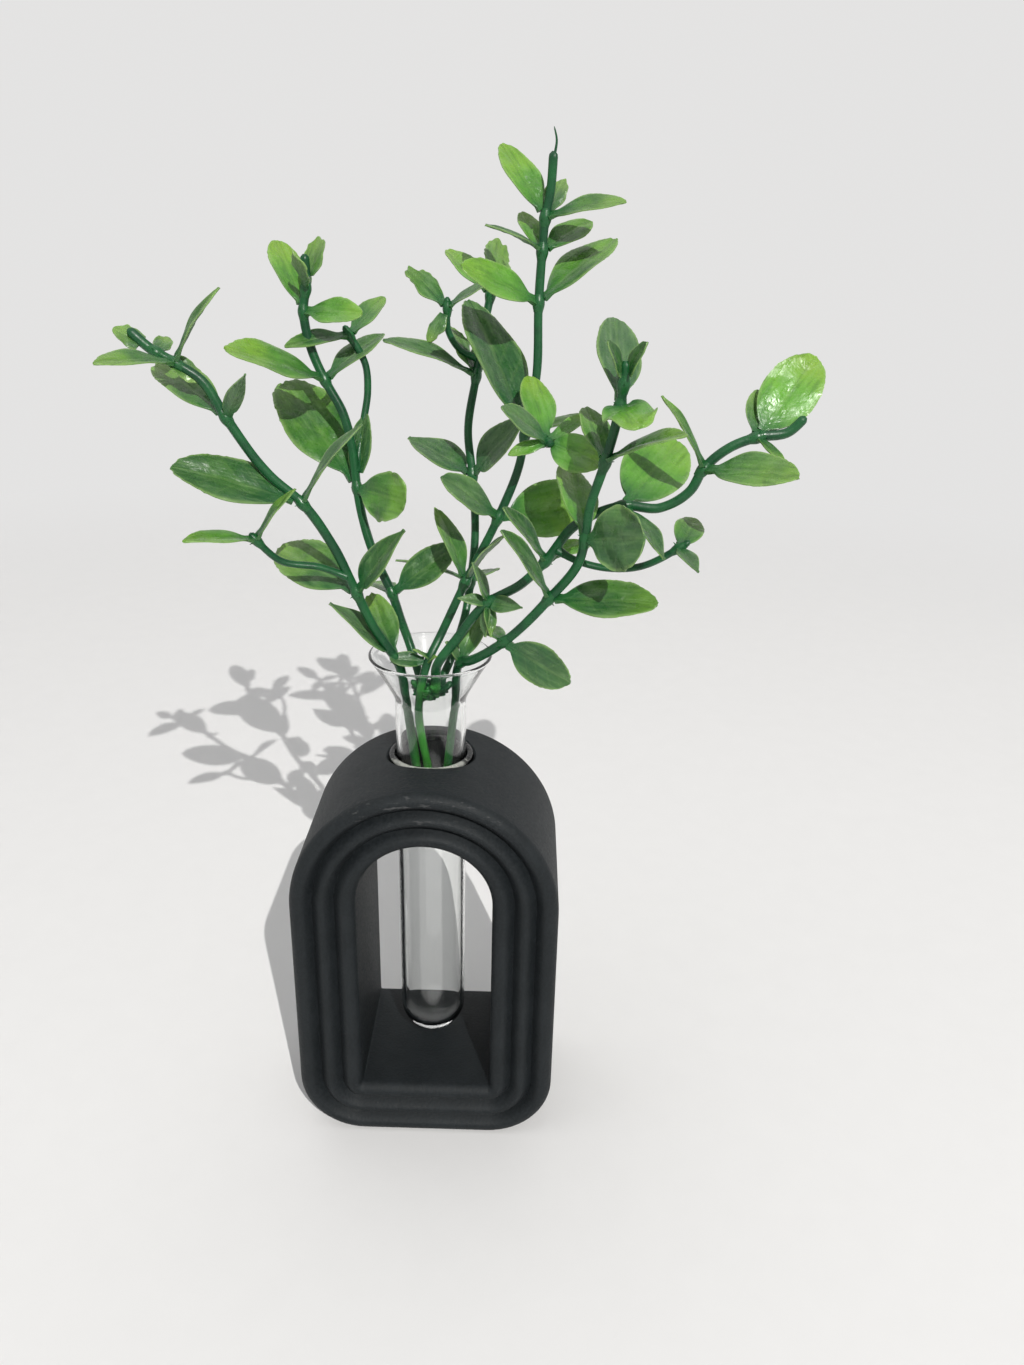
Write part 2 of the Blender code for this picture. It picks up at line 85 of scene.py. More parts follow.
# The tube and the ring round it
TUBE_RADIUS = 0.010
TUBE_WALL = 0.0012
FLARE_HEIGHT = 0.014
FLARE_BEND = 0.15
LIP_WALL = 0.0008
LIP_BEAD = 0.00004
LIP_TURN = (200, -20)
BOTTOM_WALL = 0.0024
RING_OUTSET = 0.00015
RING_WAVE = 0.10
RING_WAVE_COUNTS = (5, 2)
RING_CLEARANCE = 0.0006
HOLE_RADIUS = TUBE_RADIUS + RING_SECTION + RING_CLEARANCE

# The stalks, and the knot that the short ones end in
STEM_RADIUS = 0.00115
STEM_TIP_RADIUS = 0.0011
TWIG_RADIUS = 0.0009
THREAD_RADIUS = 0.0003
STUB_RADIUS = 0.0009
STEM_DEPTH = 0.036
SHORT_STEM_DEPTH = 0.010
STEM_WALL_CLEARANCE = 0.0006
SEAM_HEIGHT = 0.16
SEAM_SHARPNESS = 12
SWELL_HEIGHT = 0.05
SWELL_LENGTH = 0.006
JOINT_SWELL = 0.5
JOINT_LENGTH = 0.0022
END_BLUNTNESS = 0.15
STEM_LEAD_POINTS = 3
TWIG_LEAD_POINTS = 1
KNOT_SHRINK = 0.80
KNOT_LUMPS = ((0.34, 2.3), (0.22, 5.2))

# The leaves and their collars
PETIOLE_SHARE = 0.15
PETIOLE_ASPECT = 0.5
PETIOLE_WIDTH = 0.0024
PETIOLE_THICKNESS = 0.0011
PETIOLE_SLIMS = (0.5 * PETIOLE_SHARE, 1.6 * PETIOLE_SHARE)
BLADE_THICKNESS = 0.0006
EDGE_THICKNESS = 0.00028
KEEL_RADIUS = 0.0007
HALF_BULGE = 0.4
TIP_SHARE = 0.12
TIP_TEAR = 0.4
EDGE_TORN_SPAN = (0.25, 0.8)
TIP_TORN_SPAN = (0.75, 1)
EDGE_SEED, TIP_SEED = 5, 9
HIGHEST_SEED = 50
WAVES_ALONG = 1.6
WAVES_ACROSS = 0.5
MIDRIB_WIDTH = 0.0005
MIDRIB_DEPTH = 0.00016
VEIN_PAIRS = 6
VEIN_SLANT = 1.3
VEIN_DEPTH = 0.00008
PUCKER_SIZE = 0.0036
PUCKER_DEPTH = 0.00026
LIGHT_SPREAD = 0.08
COLLAR_WALL = 0.0004
COLLAR_LENGTH = 0.0042
COLLAR_FIT = 1.04
COLLAR_ROUNDNESS = 1.5
LEAST_SLANT = 0.3
SPUR_LENGTH = 0.0009
SPUR_RADIUS = 0.00024
SPUR_LEAN = (60, 110)
SPUR_COUNTS = (1, 2, 2)

# Facets, and the angles in degrees from which an edge is sharp
ARCH_TOP_STEPS = 72
ARCH_CORNER_STEPS = 14
ARCH_WALL_STEPS = 12
RIB_STEPS = 18
BACK_EDGE_STEPS = 3
TUBE_STEPS = 128
BOTTOM_STEPS = 18
WALL_STEPS = 8
CONE_STEPS = 20
LIP_STEPS = 12
RING_STEPS = 20
STALK_SIDES = 24
STALK_STEP = 0.0007
KNOT_ROUNDS = 5
LEAF_ROWS = 52
LEAF_COLUMNS = 22
ROW_CROWDING = 1.4
COLLAR_STEPS = 28
BEAD_STEPS = 12
SPUR_SIDES = 8
SWEEP_STEPS = 24
PRINT_SHARP = 35
STALK_SHARP = 40
LEAF_SHARP = 55
KNOT_SHARP = 55
GLASS_SHARP = 60

# Colours of the finishes
PRINT_DARK = (0.0074, 0.0100, 0.0114, 1)
PRINT_LIGHT = (0.0120, 0.0152, 0.0172, 1)
RUBBED_GREY = (0.12, 0.12, 0.12, 1)
GLASS_TINT = (0.985, 0.995, 0.99, 1)
# The ring's dark back is painted shade and its pale front a painted sheen, not colours the silicone
# has.
RING_PAINTED_SHADE = (0.02, 0.022, 0.022, 1)
RING_PAINTED_SHEEN = (0.66, 0.67, 0.61, 1)
STALK_DARK = (0.0045, 0.050, 0.018, 1)
STALK_LIGHT = (0.0085, 0.094, 0.025, 1)
STALK_FOOT = (0.055, 0.30, 0.040, 1)
LEAF_DEEP = (0.013, 0.082, 0.015, 1)
LEAF_LIGHT = (0.128, 0.360, 0.034, 1)
LEAF_LIME = (0.190, 0.355, 0.036, 1)
LEAF_DULL = (0.108, 0.192, 0.092, 1)
# The leaves' pale rims are painted light through their thin edges; the midrib's and veins' colour is
# their own.
LEAF_VEINS_AND_PAINTED_RIM_LIGHT = (0.260, 0.400, 0.130, 1)
LEAF_STREAKS = (0.250, 0.420, 0.170, 1)
CARD_DARK = (0.805, 0.80, 0.795, 1)
CARD_LIGHT = (0.83, 0.825, 0.82, 1)
PALE = (0.775, 0.770, 0.765, 1)
ROOM_TINT = (0.95, 0.97, 1, 1)

# Sizes of the grain in the finishes
LAYER_HEIGHT = 0.0002
WAVE_RATE = 20
PRINT_MOTTLE = 0.008
PRINT_GRAIN = 0.0008
RUB_STREAK = 0.0011
DUST_SPACING = 0.0022
GLASS_WAVE = 0.005
RING_CLOUD = 0.0022
STALK_MOTTLE = 0.006
STALK_GRAIN = 0.0007
LEAF_BLOTCH = 0.009
LEAF_DIMPLE = 0.0017
LEAF_FIBRE = 0.0006
LEAF_STREAK = 0.0011
CARD_MOTTLE = 0.012

# What the leaves' vertices carry: (along, across, under), (light, lime, grey) and the place on the
# leaf. A collar has a place before the leaf's base.
LEAF_LAYERS = ("leaf_place", "leaf_tone", "leaf_grain")
COLLAR_PLACE = (-1, 0.5, 0)

# How a kind of leaf is shaped: its width over its length, how its base tapers and its tip rounds
# (less is blunter), how far forward it is widest, how it folds along the midrib, droops and waves,
# and how deep and how long the tears in its edge are.
LeafForm = namedtuple("LeafForm", "aspect wedge blunt shoulder fold droop wave torn tear")
FORMS = {
    "oval": LeafForm(0.43, 0.70, 0.50, 0.93, 0.34, 0.11, 0.07, 0.050, 0.0009),
    "full": LeafForm(0.50, 0.66, 0.45, 0.98, 0.26, 0.11, 0.08, 0.055, 0.0010),
    "broad": LeafForm(0.54, 0.60, 0.45, 0.95, 0.16, 0.06, 0.08, 0.040, 0.0008),
    "narrow": LeafForm(0.34, 0.75, 0.60, 0.93, 0.45, 0.15, 0.06, 0.045, 0.0009),
    "blade": LeafForm(0.21, 0.70, 0.80, 1.05, 0.50, 0.19, 0.08, 0.040, 0.0010),
    "spear": LeafForm(0.45, 0.60, 0.80, 0.74, 0.42, 0.10, 0.05, 0.035, 0.0010),
    "pointed": LeafForm(0.40, 0.55, 0.95, 0.70, 0.50, 0.09, 0.05, 0.025, 0.0010),
    "fan": LeafForm(0.76, 0.90, 0.20, 1.45, 0.28, 0.14, 0.16, 0.090, 0.0020),
    "round": LeafForm(0.78, 0.50, 0.38, 0.95, 0.12, 0.18, 0.18, 0.090, 0.0016),
    "thorn": LeafForm(0.22, 0.50, 0.95, 0.62, 0.50, 0.09, 0.05, 0.025, 0.0010),
    "ragged": LeafForm(0.46, 0.70, 0.42, 1.05, 0.18, 0.04, 0.16, 0.300, 0.0017),
}

# How a leaf is coloured: how light it is, how far lime spreads from its tip and how grey it is.
TONES = {
    "deep": (0.06, 0.10, 0.10),
    "teal": (0.12, 0.08, 0.34),
    "mid": (0.34, 0.42, 0.04),
    "bright": (0.66, 0.62, 0.0),
    "lime": (0.62, 1.0, 0.0),
    "sunny": (0.90, 1.0, 0.0),
    "olive": (0.34, 0.72, 0.14),
    "pale": (0.34, 1.00, 0.40),
    "grey": (0.16, 0.12, 0.62),
    "ash": (0.16, 0.05, 0.85),
}

# Every sprig has the depth it reaches into the tube, its bearing round the tube's axis and how far
# it leans out (1 is against the glass) at its foot, its waist and the lip, its stem's route above
# the lip, the leaves at some of the route's points and its twigs. The point where leaves grow or a
# twig starts is counted along the route, with its fraction, and one before the route is negative.
# A leaf is (length, heading, rise, roll, "tone form").
LEFT_FRONT = dict(
    name="left_front", depth=STEM_DEPTH,
    foot=(195, 0.6), waist=(188, 1.0), lip=(209, 0.7),
    route=[
        (-11, -5.8, 3.5), (-14, -6.5, 8.5), (-18.5, -7.5, 19), (-24, -8.5, 32), (-31, -9.5, 43),
        (-38.5, -10.5, 50), (-48, -11.5, 64), (-53.5, -11.5, 73), (-59, -11.5, 76.5),
        (-65, -11.5, 80), (-69.5, -11.5, 84),
    ],
    leaves={
        -1: [(23, 180, 46, 14, "grey pointed"), (21, 125, 46, 25, "olive oval")],
        2: [(29, 150, 20, 32, "olive full"), (23, 335, 56, -58, "deep pointed")],
        4: [(32, 200, 23, 40, "deep oval"), (26, 335, 60, -42, "grey blade")],
        6: [(26, 150, 30, 15, "olive oval"), (18, 310, 45, 25, "ash thorn")],
        8: [(22, 240, 12, 20, "olive narrow"), (22, 325, 58, -54, "mid blade")],
        8.7: [
            (11, 177, 30, 45, "pale ragged"), (9, 90, 20, -25, "pale ragged"),
            (12, 5, -30, -40, "pale ragged"),
        ],
    },
    twigs=[dict(
        start=2.35,
        route=[(-27, -9.5, 26.5), (-37, -12.5, 29), (-42, -14.5, 34.5), (-43.5, -15, 36.5)],
        leaves={2: [(20, 230, 18, 15, "bright narrow"), (18, 330, 58, -50, "olive blade")]},
    )],
)
LEFT_REAR = dict(
    name="left_rear", depth=SHORT_STEM_DEPTH,
    foot=(154, 0.4), waist=(135, 0.92), lip=(131, 0.7),
    route=[
        (-9, 9, 6), (-11.5, 10, 13.5), (-16, 11.5, 23), (-19.5, 13.5, 33.5), (-21, 14.5, 42),
        (-22, 15.5, 52), (-24.5, 16.5, 62), (-29, 17.5, 70), (-32.5, 18.5, 78), (-34, 18.5, 87),
        (-33, 18.5, 94), (-33, 18.5, 101),
    ],
    leaves={
        1: [(22, 5, 40, -60, "deep oval"), (18, 115, 0, 0, "mid oval")],
        4: [
            (38, 145, 48, 20, "mid full"), (18, 315, 0, -70, "mid fan"),
            (20, 70, 80, 0, "deep narrow"),
        ],
        7: [(29, 225, 23, 35, "lime oval"), (22, 40, 38, -18, "grey narrow")],
        9: [(18, 330, 5, -50, "bright oval"), (22, 125, 56, -10, "lime full")],
        9.8: [(14, 55, 66, 0, "pale ragged"), (12, 270, 45, 40, "olive ragged")],
    },
    twigs=[dict(
        start=4.4,
        route=[
            (-19.5, 20.5, 59.5), (-18.5, 22.5, 67), (-19, 23.5, 73.5), (-23, 23.5, 81),
            (-24.5, 23.5, 83.5),
        ],
        leaves={3: [(18, 215, 0, 30, "mid narrow"), (16, 50, 42, -15, "olive oval")]},
    )],
)
REAR = dict(
    name="rear", depth=SHORT_STEM_DEPTH,
    foot=(30, 0.36), waist=(42, 0.9), lip=(52, 0.75),
    route=[
        (8.5, 13, 5.5), (10, 18, 15), (11, 21.5, 26.5), (10, 25.5, 44), (8.5, 28.5, 56),
        (10.5, 31.5, 70.5), (12.5, 34, 84), (14, 35.5, 91.5), (14.5, 36, 96),
    ],
    leaves={
        1: [(23, 160, 20, -15, "grey blade"), (16, 65, 5, 15, "mid oval")],
        3: [(24, 150, 25, 20, "teal spear"), (24, 325, 50, -65, "grey spear")],
        5: [
            (28, 210, 28, 25, "grey narrow"), (14, 70, 30, 30, "mid narrow"),
            (15, 150, 58, 0, "pale ragged"), (12, 60, 72, -20, "pale ragged"),
        ],
        7: [(20, 140, 40, 10, "lime oval"), (20, 80, 45, -45, "pale ragged")],
    },
    twigs=[dict(
        start=5.35,
        route=[(6.5, 31.5, 77), (2.7, 31.5, 82.5), (2.5, 31.5, 88), (2.5, 31.5, 91)],
        leaves={
            2: [
                (16, 150, 40, 25, "mid ragged"), (14, 345, 38, -30, "grey narrow"),
                (10, 215, -55, 30, "pale ragged"),
            ],
        },
    )],
)
CENTRE = dict(
    name="centre", depth=STEM_DEPTH,
    foot=(250, 0.25), waist=(230, 0.65), lip=(270, 0.36),
    route=[
        (3, -2, 6), (9.5, -0.5, 20.5), (18, 1.5, 38), (23.5, 2.5, 53), (24.5, 3.5, 59.5),
        (27, 5.5, 74), (27, 7.5, 91), (27.5, 8.5, 103), (28, 8.5, 110.5), (29, 8.5, 116),
        (29.5, 8.5, 125),
    ],
    leaves={
        1: [(23, 120, 55, -20, "olive narrow"), (20, 320, 58, -20, "grey narrow")],
        # The lime broad leaf's tone is lightened to make up for shade that other leaves cast on it:
        # partly painted light.
        2: [(20, 215, 40, 60, "grey oval"), (28, 25, 5, -75, "lime broad")],
        4: [(38, 136, 61, 0, "deep oval"), (22, 30, 15, 0, "bright oval")],
        6: [(23, 215, 25, 55, "bright oval"), (27, 30, 40, -15, "mid oval")],
        7: [
            (16, 210, 30, 20, "grey blade"), (17, 35, 30, -30, "mid oval"),
            # This leaf's lime tone is lightened to make up for the shade it lies in: partly painted
            # light.
            (14, 120, 45, 5, "lime oval"),
        ],
        8: [
            (21, 150, 56, 25, "lime oval"), (20, 335, 18, -35, "olive narrow"),
            (12, 60, 50, -15, "pale ragged"),
        ],
    },
    twigs=[dict(
        start=4.3,
        route=[(27, -2, 61), (30, -10, 60), (31, -13, 60)],
        leaves={
            1: [
                (20, 110, 50, 0, "lime oval"), (17, 316, -8, -60, "bright broad"),
                (15, 210, 40, 55, "grey oval"), (10, 195, -12, 50, "bright narrow"),
                (13, 10, 38, -30, "lime narrow"),
            ],
        },
    )],
    thread=[(29.7, 8.5, 124), (30.1, 8.5, 127.5), (29.4, 8.4, 130.2)],
)
RIGHT_LONG = dict(
    name="right_long", depth=SHORT_STEM_DEPTH,
    foot=(295, 0.62), waist=(288, 0.9), lip=(286, 0.65),
    route=[
        (7.5, -8.5, 7), (16, -10.5, 18.5), (24.5, -11.5, 24), (30.5, -12.5, 30.5),
        (37.5, -14.5, 40.5), (49, -15.5, 46), (58, -16.5, 46), (65, -16.5, 50.5),
        (67.5, -16.5, 55.5), (73.5, -16.5, 61), (79.5, -16.5, 63.5), (87, -16.5, 65),
        (90.5, -16.5, 68.5),
    ],
    leaves={
        1: [
            (12, 215, 72, 55, "grey pointed"), (11, 320, 8, -60, "teal pointed"),
            (9, 290, -60, 20, "olive pointed"), (8, 195, 15, 40, "grey pointed"),
            (9, 250, -68, -30, "grey pointed"),
        ],
        3: [(20, 225, 55, 55, "deep narrow"), (20, 50, 10, 0, "lime oval")],
        5: [(31, 55, 25, -30, "bright broad"), (21, 298, -18, 20, "teal pointed")],
        8: [(25, 315, 10, -35, "olive oval"), (21, 215, 62, 52, "mid blade")],
        10: [
            (25, 33, 47, -45, "sunny broad"), (13, 85, 55, 0, "pale oval"),
            (11, 305, -20, 5, "olive narrow"),
        ],
    },
    twigs=[dict(
        start=3.35,
        route=[(37, -14, 32), (54, -16.5, 31), (63, -18.5, 36.5), (65.5, -19, 38.5)],
        leaves={2: [(15, 65, 22, -20, "olive full"), (11, 290, -10, 0, "grey pointed")]},
    )],
)
RIGHT_FRONT = dict(
    name="right_front", depth=STEM_DEPTH,
    foot=(340, 0.68), waist=(352, 1.0), lip=(324, 0.75),
    route=[
        (11.5, -10, 2), (20.5, -16.5, 10), (31.5, -21.5, 23.5), (38.5, -24.5, 34.5),
        (39.5, -26, 40), (40, -27, 47), (43, -28.5, 59), (45.5, -29.5, 71.5), (46, -30, 76.5),
        (46, -30.5, 81.5),
    ],
    leaves={
        -1: [(16, 60, 52, -10, "olive oval"), (7, 175, 60, 20, "grey oval")],
        1: [(21, 320, -15, -75, "teal full"), (13, 115, 5, 0, "pale oval")],
        2: [(27, 340, 9, -35, "mid oval"), (23, 220, 60, 50, "deep narrow")],
        # The lime oval leaf's tone is lightened to make up for shade cast on it by leaves above:
        # partly painted light.
        4: [(20, 300, 15, -85, "teal fan"), (25, 100, 40, -20, "lime oval")],
        6: [(24, 310, 30, -25, "olive narrow"), (18, 105, 40, -10, "mid oval")],
        7: [(15, 280, 2, -12, "bright round"), (26, 90, 48, -20, "grey oval")],
        8: [(11, 235, 60, 75, "deep oval"), (11, 300, 60, -75, "deep oval")],
    },
    twigs=[],
)
SPRIGS = [LEFT_FRONT, LEFT_REAR, REAR, CENTRE, RIGHT_LONG, RIGHT_FRONT]

# The stubs of the knot that the stems meet in, and the small leaves at the lip
KNOT_STUBS = [
    [(-1, -1.5, -10), (2.5, -3, -10.5), (6.2, -2.6, -7.5)],
    [(-1, -1.5, -10), (-3.5, -3.5, -8.5), (-4.8, -4.2, -6.5)],
    [(0, -1.5, -9), (1.2, -5, -8), (1.6, -5.8, -7.2)],
]
LIP_LEAVES = [
    ((-0.6, -4.6, -0.8), (10, 196, 12, 50, "deep oval")),
    ((-0.2, -4.9, 0.2), (6, 228, 48, 30, "pale blade")),
    ((0.4, -5.2, -0.4), (6, 285, 40, -50, "lime blade")),
]

# The camera and the light. A lamp is (name, place from the lit point, size, power, tint).
CAMERA_PLACE = (0.02458, -0.2604, 0.2498)
CAMERA_PITCH = 0.3984
CAMERA_YAW = -0.0069
CAMERA_ROLL = 0.0245
CAMERA_FOCUS_PIXELS = 1037.3
PHOTO_HEIGHT_PIXELS = 1365
SENSOR = 36
CLIP_START = 0.01
LIT_POINT = Vector((0, 0, 0.13))
LAMPS = [
    ("overhead", (-0.70, 0.05, 2.0), 2.4, 11.5, (1, 0.99, 0.98)),
    ("front_right", (0.774, -2.19, 1.90), 0.02, 80.0, (1, 0.985, 0.96)),
]
ROOM_STRENGTH = 0.27
FLOOR_FADE = (0.46, 0.95)

CHANCE = random.Random(11)


def lerp(start, end, share):
    """The value a share of the way from start to end."""
    return start + (end - start) * share


def smoothstep(low, high, value):
    """0 up to low, 1 from high, and an eased rise between them."""
    share = min(max((value - low) / (high - low), 0), 1)
    return share * share * (3 - 2 * share)


# Materials


class Look:
    """A material or the world, with its shader and short ways to make and link its nodes."""

    def __init__(self, name, kind="materials", shader="Principled BSDF"):
        self.block = getattr(bpy.data, kind).new(name)
        self.block.use_nodes = True
        self.tree = self.block.node_tree
        self.shader = self.tree.nodes[shader]

    @cached_property
    def place(self):
        """The place on the piece."""
        return self.put("TexCoord").outputs["Object"]

    def plug(self, socket, value):
        """Set an input to a value, or link it to a socket."""
        if isinstance(value, bpy.types.NodeSocket):
            self.tree.links.new(value, socket)
        else:
            socket.default_value = value

    def feed(self, node, **inputs):
        """Set or link a node's inputs by name."""
        for name, value in inputs.items():
            self.plug(node.inputs[name.replace("_", " ")], value)

    def set(self, **inputs):
        """Set or link the shader's inputs."""
        self.feed(self.shader, **inputs)

    def put(self, kind, settings=None, **inputs):
        """A new node with its settings and inputs."""
        node = self.tree.nodes.new(f"ShaderNode{kind}")
        for name, value in (settings or {}).items():
            setattr(node, name, value)
        self.feed(node, **inputs)
        return node

    def join(self, kind, *values, settings=None):
        """The result of a node on values or sockets, in the order of its inputs."""
        node = self.put(kind, settings)
        for socket, value in zip(node.inputs, values):
            self.plug(socket, value)
        return node.outputs[0]

    def sum(self, operation, *values):
        """The result of a sum on one or two values or sockets."""
        return self.join("Math", *values, settings=dict(operation=operation))

    def mix(self, share, first, second):
        """A colour between two."""
        return self.join("MixRGB", share, first, second)

    def blend(self, share, first, second, output):
        """Mix two shaders by a share into the output."""
        self.feed(self.tree.nodes[output], Surface=self.join("MixShader", share, first, second))

    def ease(self, value, low, high, to_low=0.0, to_high=1.0):
        """A value eased from one range to another."""
        eased = dict(interpolation_type="SMOOTHSTEP")
        return self.join("MapRange", value, low, high, to_low, to_high, settings=eased)

    def spread(self, value, to_low=0.0, to_high=1.0):
        """A noise's usual range, eased to another."""
        return self.ease(value, 0.3, 0.7, to_low, to_high)

    def noise(self, size, detail=2.0, stretch=None, place=None):
        """Noise with features of a size in metres, longer along an axis where stretch says so."""
        place = place or self.place
        if stretch:
            place = self.put("Mapping", Vector=place, Scale=stretch).outputs[0]
        return self.put("TexNoise", Vector=place, Scale=1 / size, Detail=detail).outputs["Fac"]

    def bump(self, height, depth, strength=1.0, under=None):
        """A bump of a depth in metres, on top of another bump if there is one."""
        node = self.put("Bump", Height=height, Distance=depth, Strength=strength)
        if under:
            self.feed(node, Normal=under)
        return node.outputs[0]

    def attribute(self, name):
        """What the vertices carry under a name."""
        return self.put("Attribute", dict(attribute_name=name)).outputs["Vector"]

    def parts(self, vector):
        """The X, Y and Z of a vector."""
        return list(self.put("SeparateXYZ", Vector=vector).outputs)

    def background_share(self):
        """1 on the rays that show the background: seen, mirrored or through glass."""
        rays = self.put("LightPath").outputs
        mirrored = self.sum("MAXIMUM", rays["Is Camera Ray"], rays["Is Glossy Ray"])
        return self.sum("MAXIMUM", mirrored, rays["Is Transmission Ray"])


def matte_print_look():
    """Charcoal print: fine layers along Y, dust, and a few rubbed marks on the top rib."""
    look = Look("matte_print")
    grain = look.noise(PRINT_GRAIN, 3)
    speckle = look.sum("MULTIPLY", look.sum("SUBTRACT", grain, 0.5), 2.0)
    mottle = look.sum("ADD", look.noise(PRINT_MOTTLE, 4), speckle)
    colour = look.mix(look.spread(mottle), PRINT_DARK, PRINT_LIGHT)

    _, y, z = look.parts(look.place)
    front = look.ease(y, ARCH_LOW.y + 0.0025, ARCH_LOW.y + 0.0004)
    upper = look.ease(z, ARCH_HEIGHT - 0.012, ARCH_HEIGHT - 0.004)
    streaks = look.noise(RUB_STREAK, 5, (0.35, 1, 1.2))
    rubbed = look.sum("MULTIPLY", look.ease(streaks, 0.56, 0.72, 0, 0.55), front)
    rubbed = look.sum("MULTIPLY", rubbed, upper)
    dust = look.ease(look.noise(DUST_SPACING, 7), 0.735, 0.79, 0, 0.3)
    look.set(Base_Color=look.mix(look.sum("MAXIMUM", rubbed, dust), colour, RUBBED_GREY))

    look.set(Roughness=look.ease(grain, 0.25, 0.75, 0.52, 0.68))
    layers = look.put(
        "TexWave", dict(wave_type="BANDS", bands_direction="Y"), Vector=look.place,
        Scale=FULL_TURN / (WAVE_RATE * LAYER_HEIGHT), Distortion=0.6,
    )
    stepped = look.bump(layers.outputs["Fac"], 0.00003, 0.5)
    look.set(Normal=look.bump(grain, 0.00014, 0.8, stepped), Specular_IOR_Level=0.25)
    return look.block


def clear_glass_look():
    """Polished clear glass with the faint waves of a drawn tube."""
    look = Look("clear_glass")
    waves = look.noise(GLASS_WAVE, 1, (1, 1, 0.3))
    look.set(Normal=look.bump(waves, 0.00008, 0.35))
    look.set(Base_Color=GLASS_TINT, Roughness=0.01, IOR=1.40, Transmission_Weight=1)
    look.set(Coat_Weight=0.3, Coat_Roughness=0.12)
    return look.block


def clear_silicone_look():
    """Half-clear soft silicone, with a painted pale sheen at the front and painted dark shade
    behind.
    """
    look = Look("clear_silicone")
    cloud = look.noise(RING_CLOUD, 3)
    _, y, _ = look.parts(look.place)
    depth = look.sum("ADD", y, look.spread(cloud, -0.002, 0.002))
    # Painted light: a pale sheen on the ring's front and dark shade behind it.
    painted_sheen_share = look.ease(depth, TUBE_SETBACK - 0.0050, TUBE_SETBACK - 0.0085)
    look.set(Base_Color=look.mix(painted_sheen_share, RING_PAINTED_SHADE, RING_PAINTED_SHEEN))
    look.set(Roughness=look.spread(cloud, 0.16, 0.34), IOR=1.41, Transmission_Weight=0.5)
    look.set(Normal=look.bump(cloud, 0.0003, 0.5))
    return look.block


def stalk_look():
    """Satin moulded stems: deep green, lighter at their feet and on the knot's front."""
    look = Look("stalk_plastic")
    x, y, z = look.parts(look.place)
    foot = look.ease(z, TUBE_HIGH.z - 0.012, TUBE_HIGH.z - 0.024)
    middle = look.ease(look.sum("ABSOLUTE", x), 0.0055, 0.0025, 0.15, 1)
    foot = look.sum("MULTIPLY", foot, middle)
    front = look.ease(y, TUBE_SETBACK - 0.0040, TUBE_SETBACK - 0.0056)
    low = look.ease(z, TUBE_HIGH.z - 0.0055, TUBE_HIGH.z - 0.0070, 0, 0.5)
    foot = look.sum("MAXIMUM", foot, look.sum("MULTIPLY", front, low))
    upper = look.mix(look.spread(look.noise(STALK_MOTTLE, 3)), STALK_DARK, STALK_LIGHT)
    look.set(Base_Color=look.mix(foot, upper, STALK_FOOT))
    fine = look.noise(STALK_GRAIN, 3)
    look.set(Roughness=look.spread(fine, 0.26, 0.44))
    look.set(Normal=look.bump(fine, 0.0001, 0.3), Specular_IOR_Level=0.36)
    return look.block


def leaf_look():
    """Moulded leaves: green, lime from the tips, with veins, dull undersides and pale rims that are
    painted light through their thin edges.
    """
    look = Look("leaf_plastic")
    along, across, under = look.parts(look.attribute("leaf_place"))
    light, lime, grey = look.parts(look.attribute("leaf_tone"))
    grain = look.attribute("leaf_grain")
    across = look.sum("ABSOLUTE", across)
    blotch = look.noise(LEAF_BLOTCH)
    dimple = look.noise(LEAF_DIMPLE)
    fibre = look.noise(LEAF_FIBRE, 4, (0.12, 1, 1), grain)
    streaks = look.noise(LEAF_STREAK, 3, (0.16, 1, 1), grain)

    light = look.sum("ADD", light, look.spread(blotch, -0.14, 0.14))
    body = look.mix(look.ease(light, 0.0, 1.0), LEAF_DEEP, LEAF_LIGHT)
    reach = look.sum("ADD", along, look.spread(blotch, -0.12, 0.12))
    tip = look.sum("MULTIPLY", look.ease(reach, 0.42, 1.0), lime)
    colour = look.mix(tip, body, LEAF_LIME)
    dull = look.sum("ADD", look.sum("MULTIPLY", under, 0.30), grey)
    dull = look.sum("MULTIPLY", dull, look.spread(fibre, 0.62, 1.12))
    colour = look.mix(look.sum("MINIMUM", dull, 0.9), colour, LEAF_DULL)

    phase = look.sum("MULTIPLY", along, VEIN_PAIRS)
    phase = look.sum("SUBTRACT", phase, look.sum("MULTIPLY", across, VEIN_SLANT))
    crest = look.sum("COSINE", look.sum("MULTIPLY", phase, FULL_TURN))
    midrib = look.ease(across, 0.09, 0.02, 0, 0.14)
    veins_and_painted_rim_light = look.sum("MAXIMUM", midrib, look.ease(crest, 0.7, 1.0, 0, 0.06))
    # The pale rim is painted light, standing in for light shining through the thin edge.
    veins_and_painted_rim_light = look.sum("MAXIMUM", veins_and_painted_rim_light, look.ease(across, 0.82, 1.0, 0, 0.55))
    colour = look.mix(veins_and_painted_rim_light, colour, LEAF_VEINS_AND_PAINTED_RIM_LIGHT)
    colour = look.mix(look.ease(streaks, 0.48, 0.72, 0, 0.20), colour, LEAF_STREAKS)
    colour = look.mix(look.ease(streaks, 0.50, 0.30, 0, 0.30), colour, STALK_DARK)
    base = look.ease(along, 0.44, 0.05, 0, 0.85)
    look.set(Base_Color=look.mix(base, colour, STALK_LIGHT))

    dry = look.sum("MULTIPLY", under, 0.12)
    look.set(Roughness=look.sum("ADD", look.spread(dimple, 0.25, 0.43), dry))
    pressed = look.ease(across, 0.14, 0.0)
    pressed = look.sum("MAXIMUM", pressed, look.ease(crest, 0.0, 1.0, 0, 0.45))
    veined = look.bump(pressed, 0.00014, 0.5)
    ribbed = look.bump(fibre, 0.00012, 0.5, veined)
    look.set(Normal=look.bump(dimple, 0.00036, 0.6, ribbed))
    look.set(Specular_IOR_Level=0.42, Subsurface_Weight=0.18)
    look.set(Subsurface_Radius=(0.6, 1.0, 0.3), Subsurface_Scale=0.0012)
    return look.block


# Mesh tools


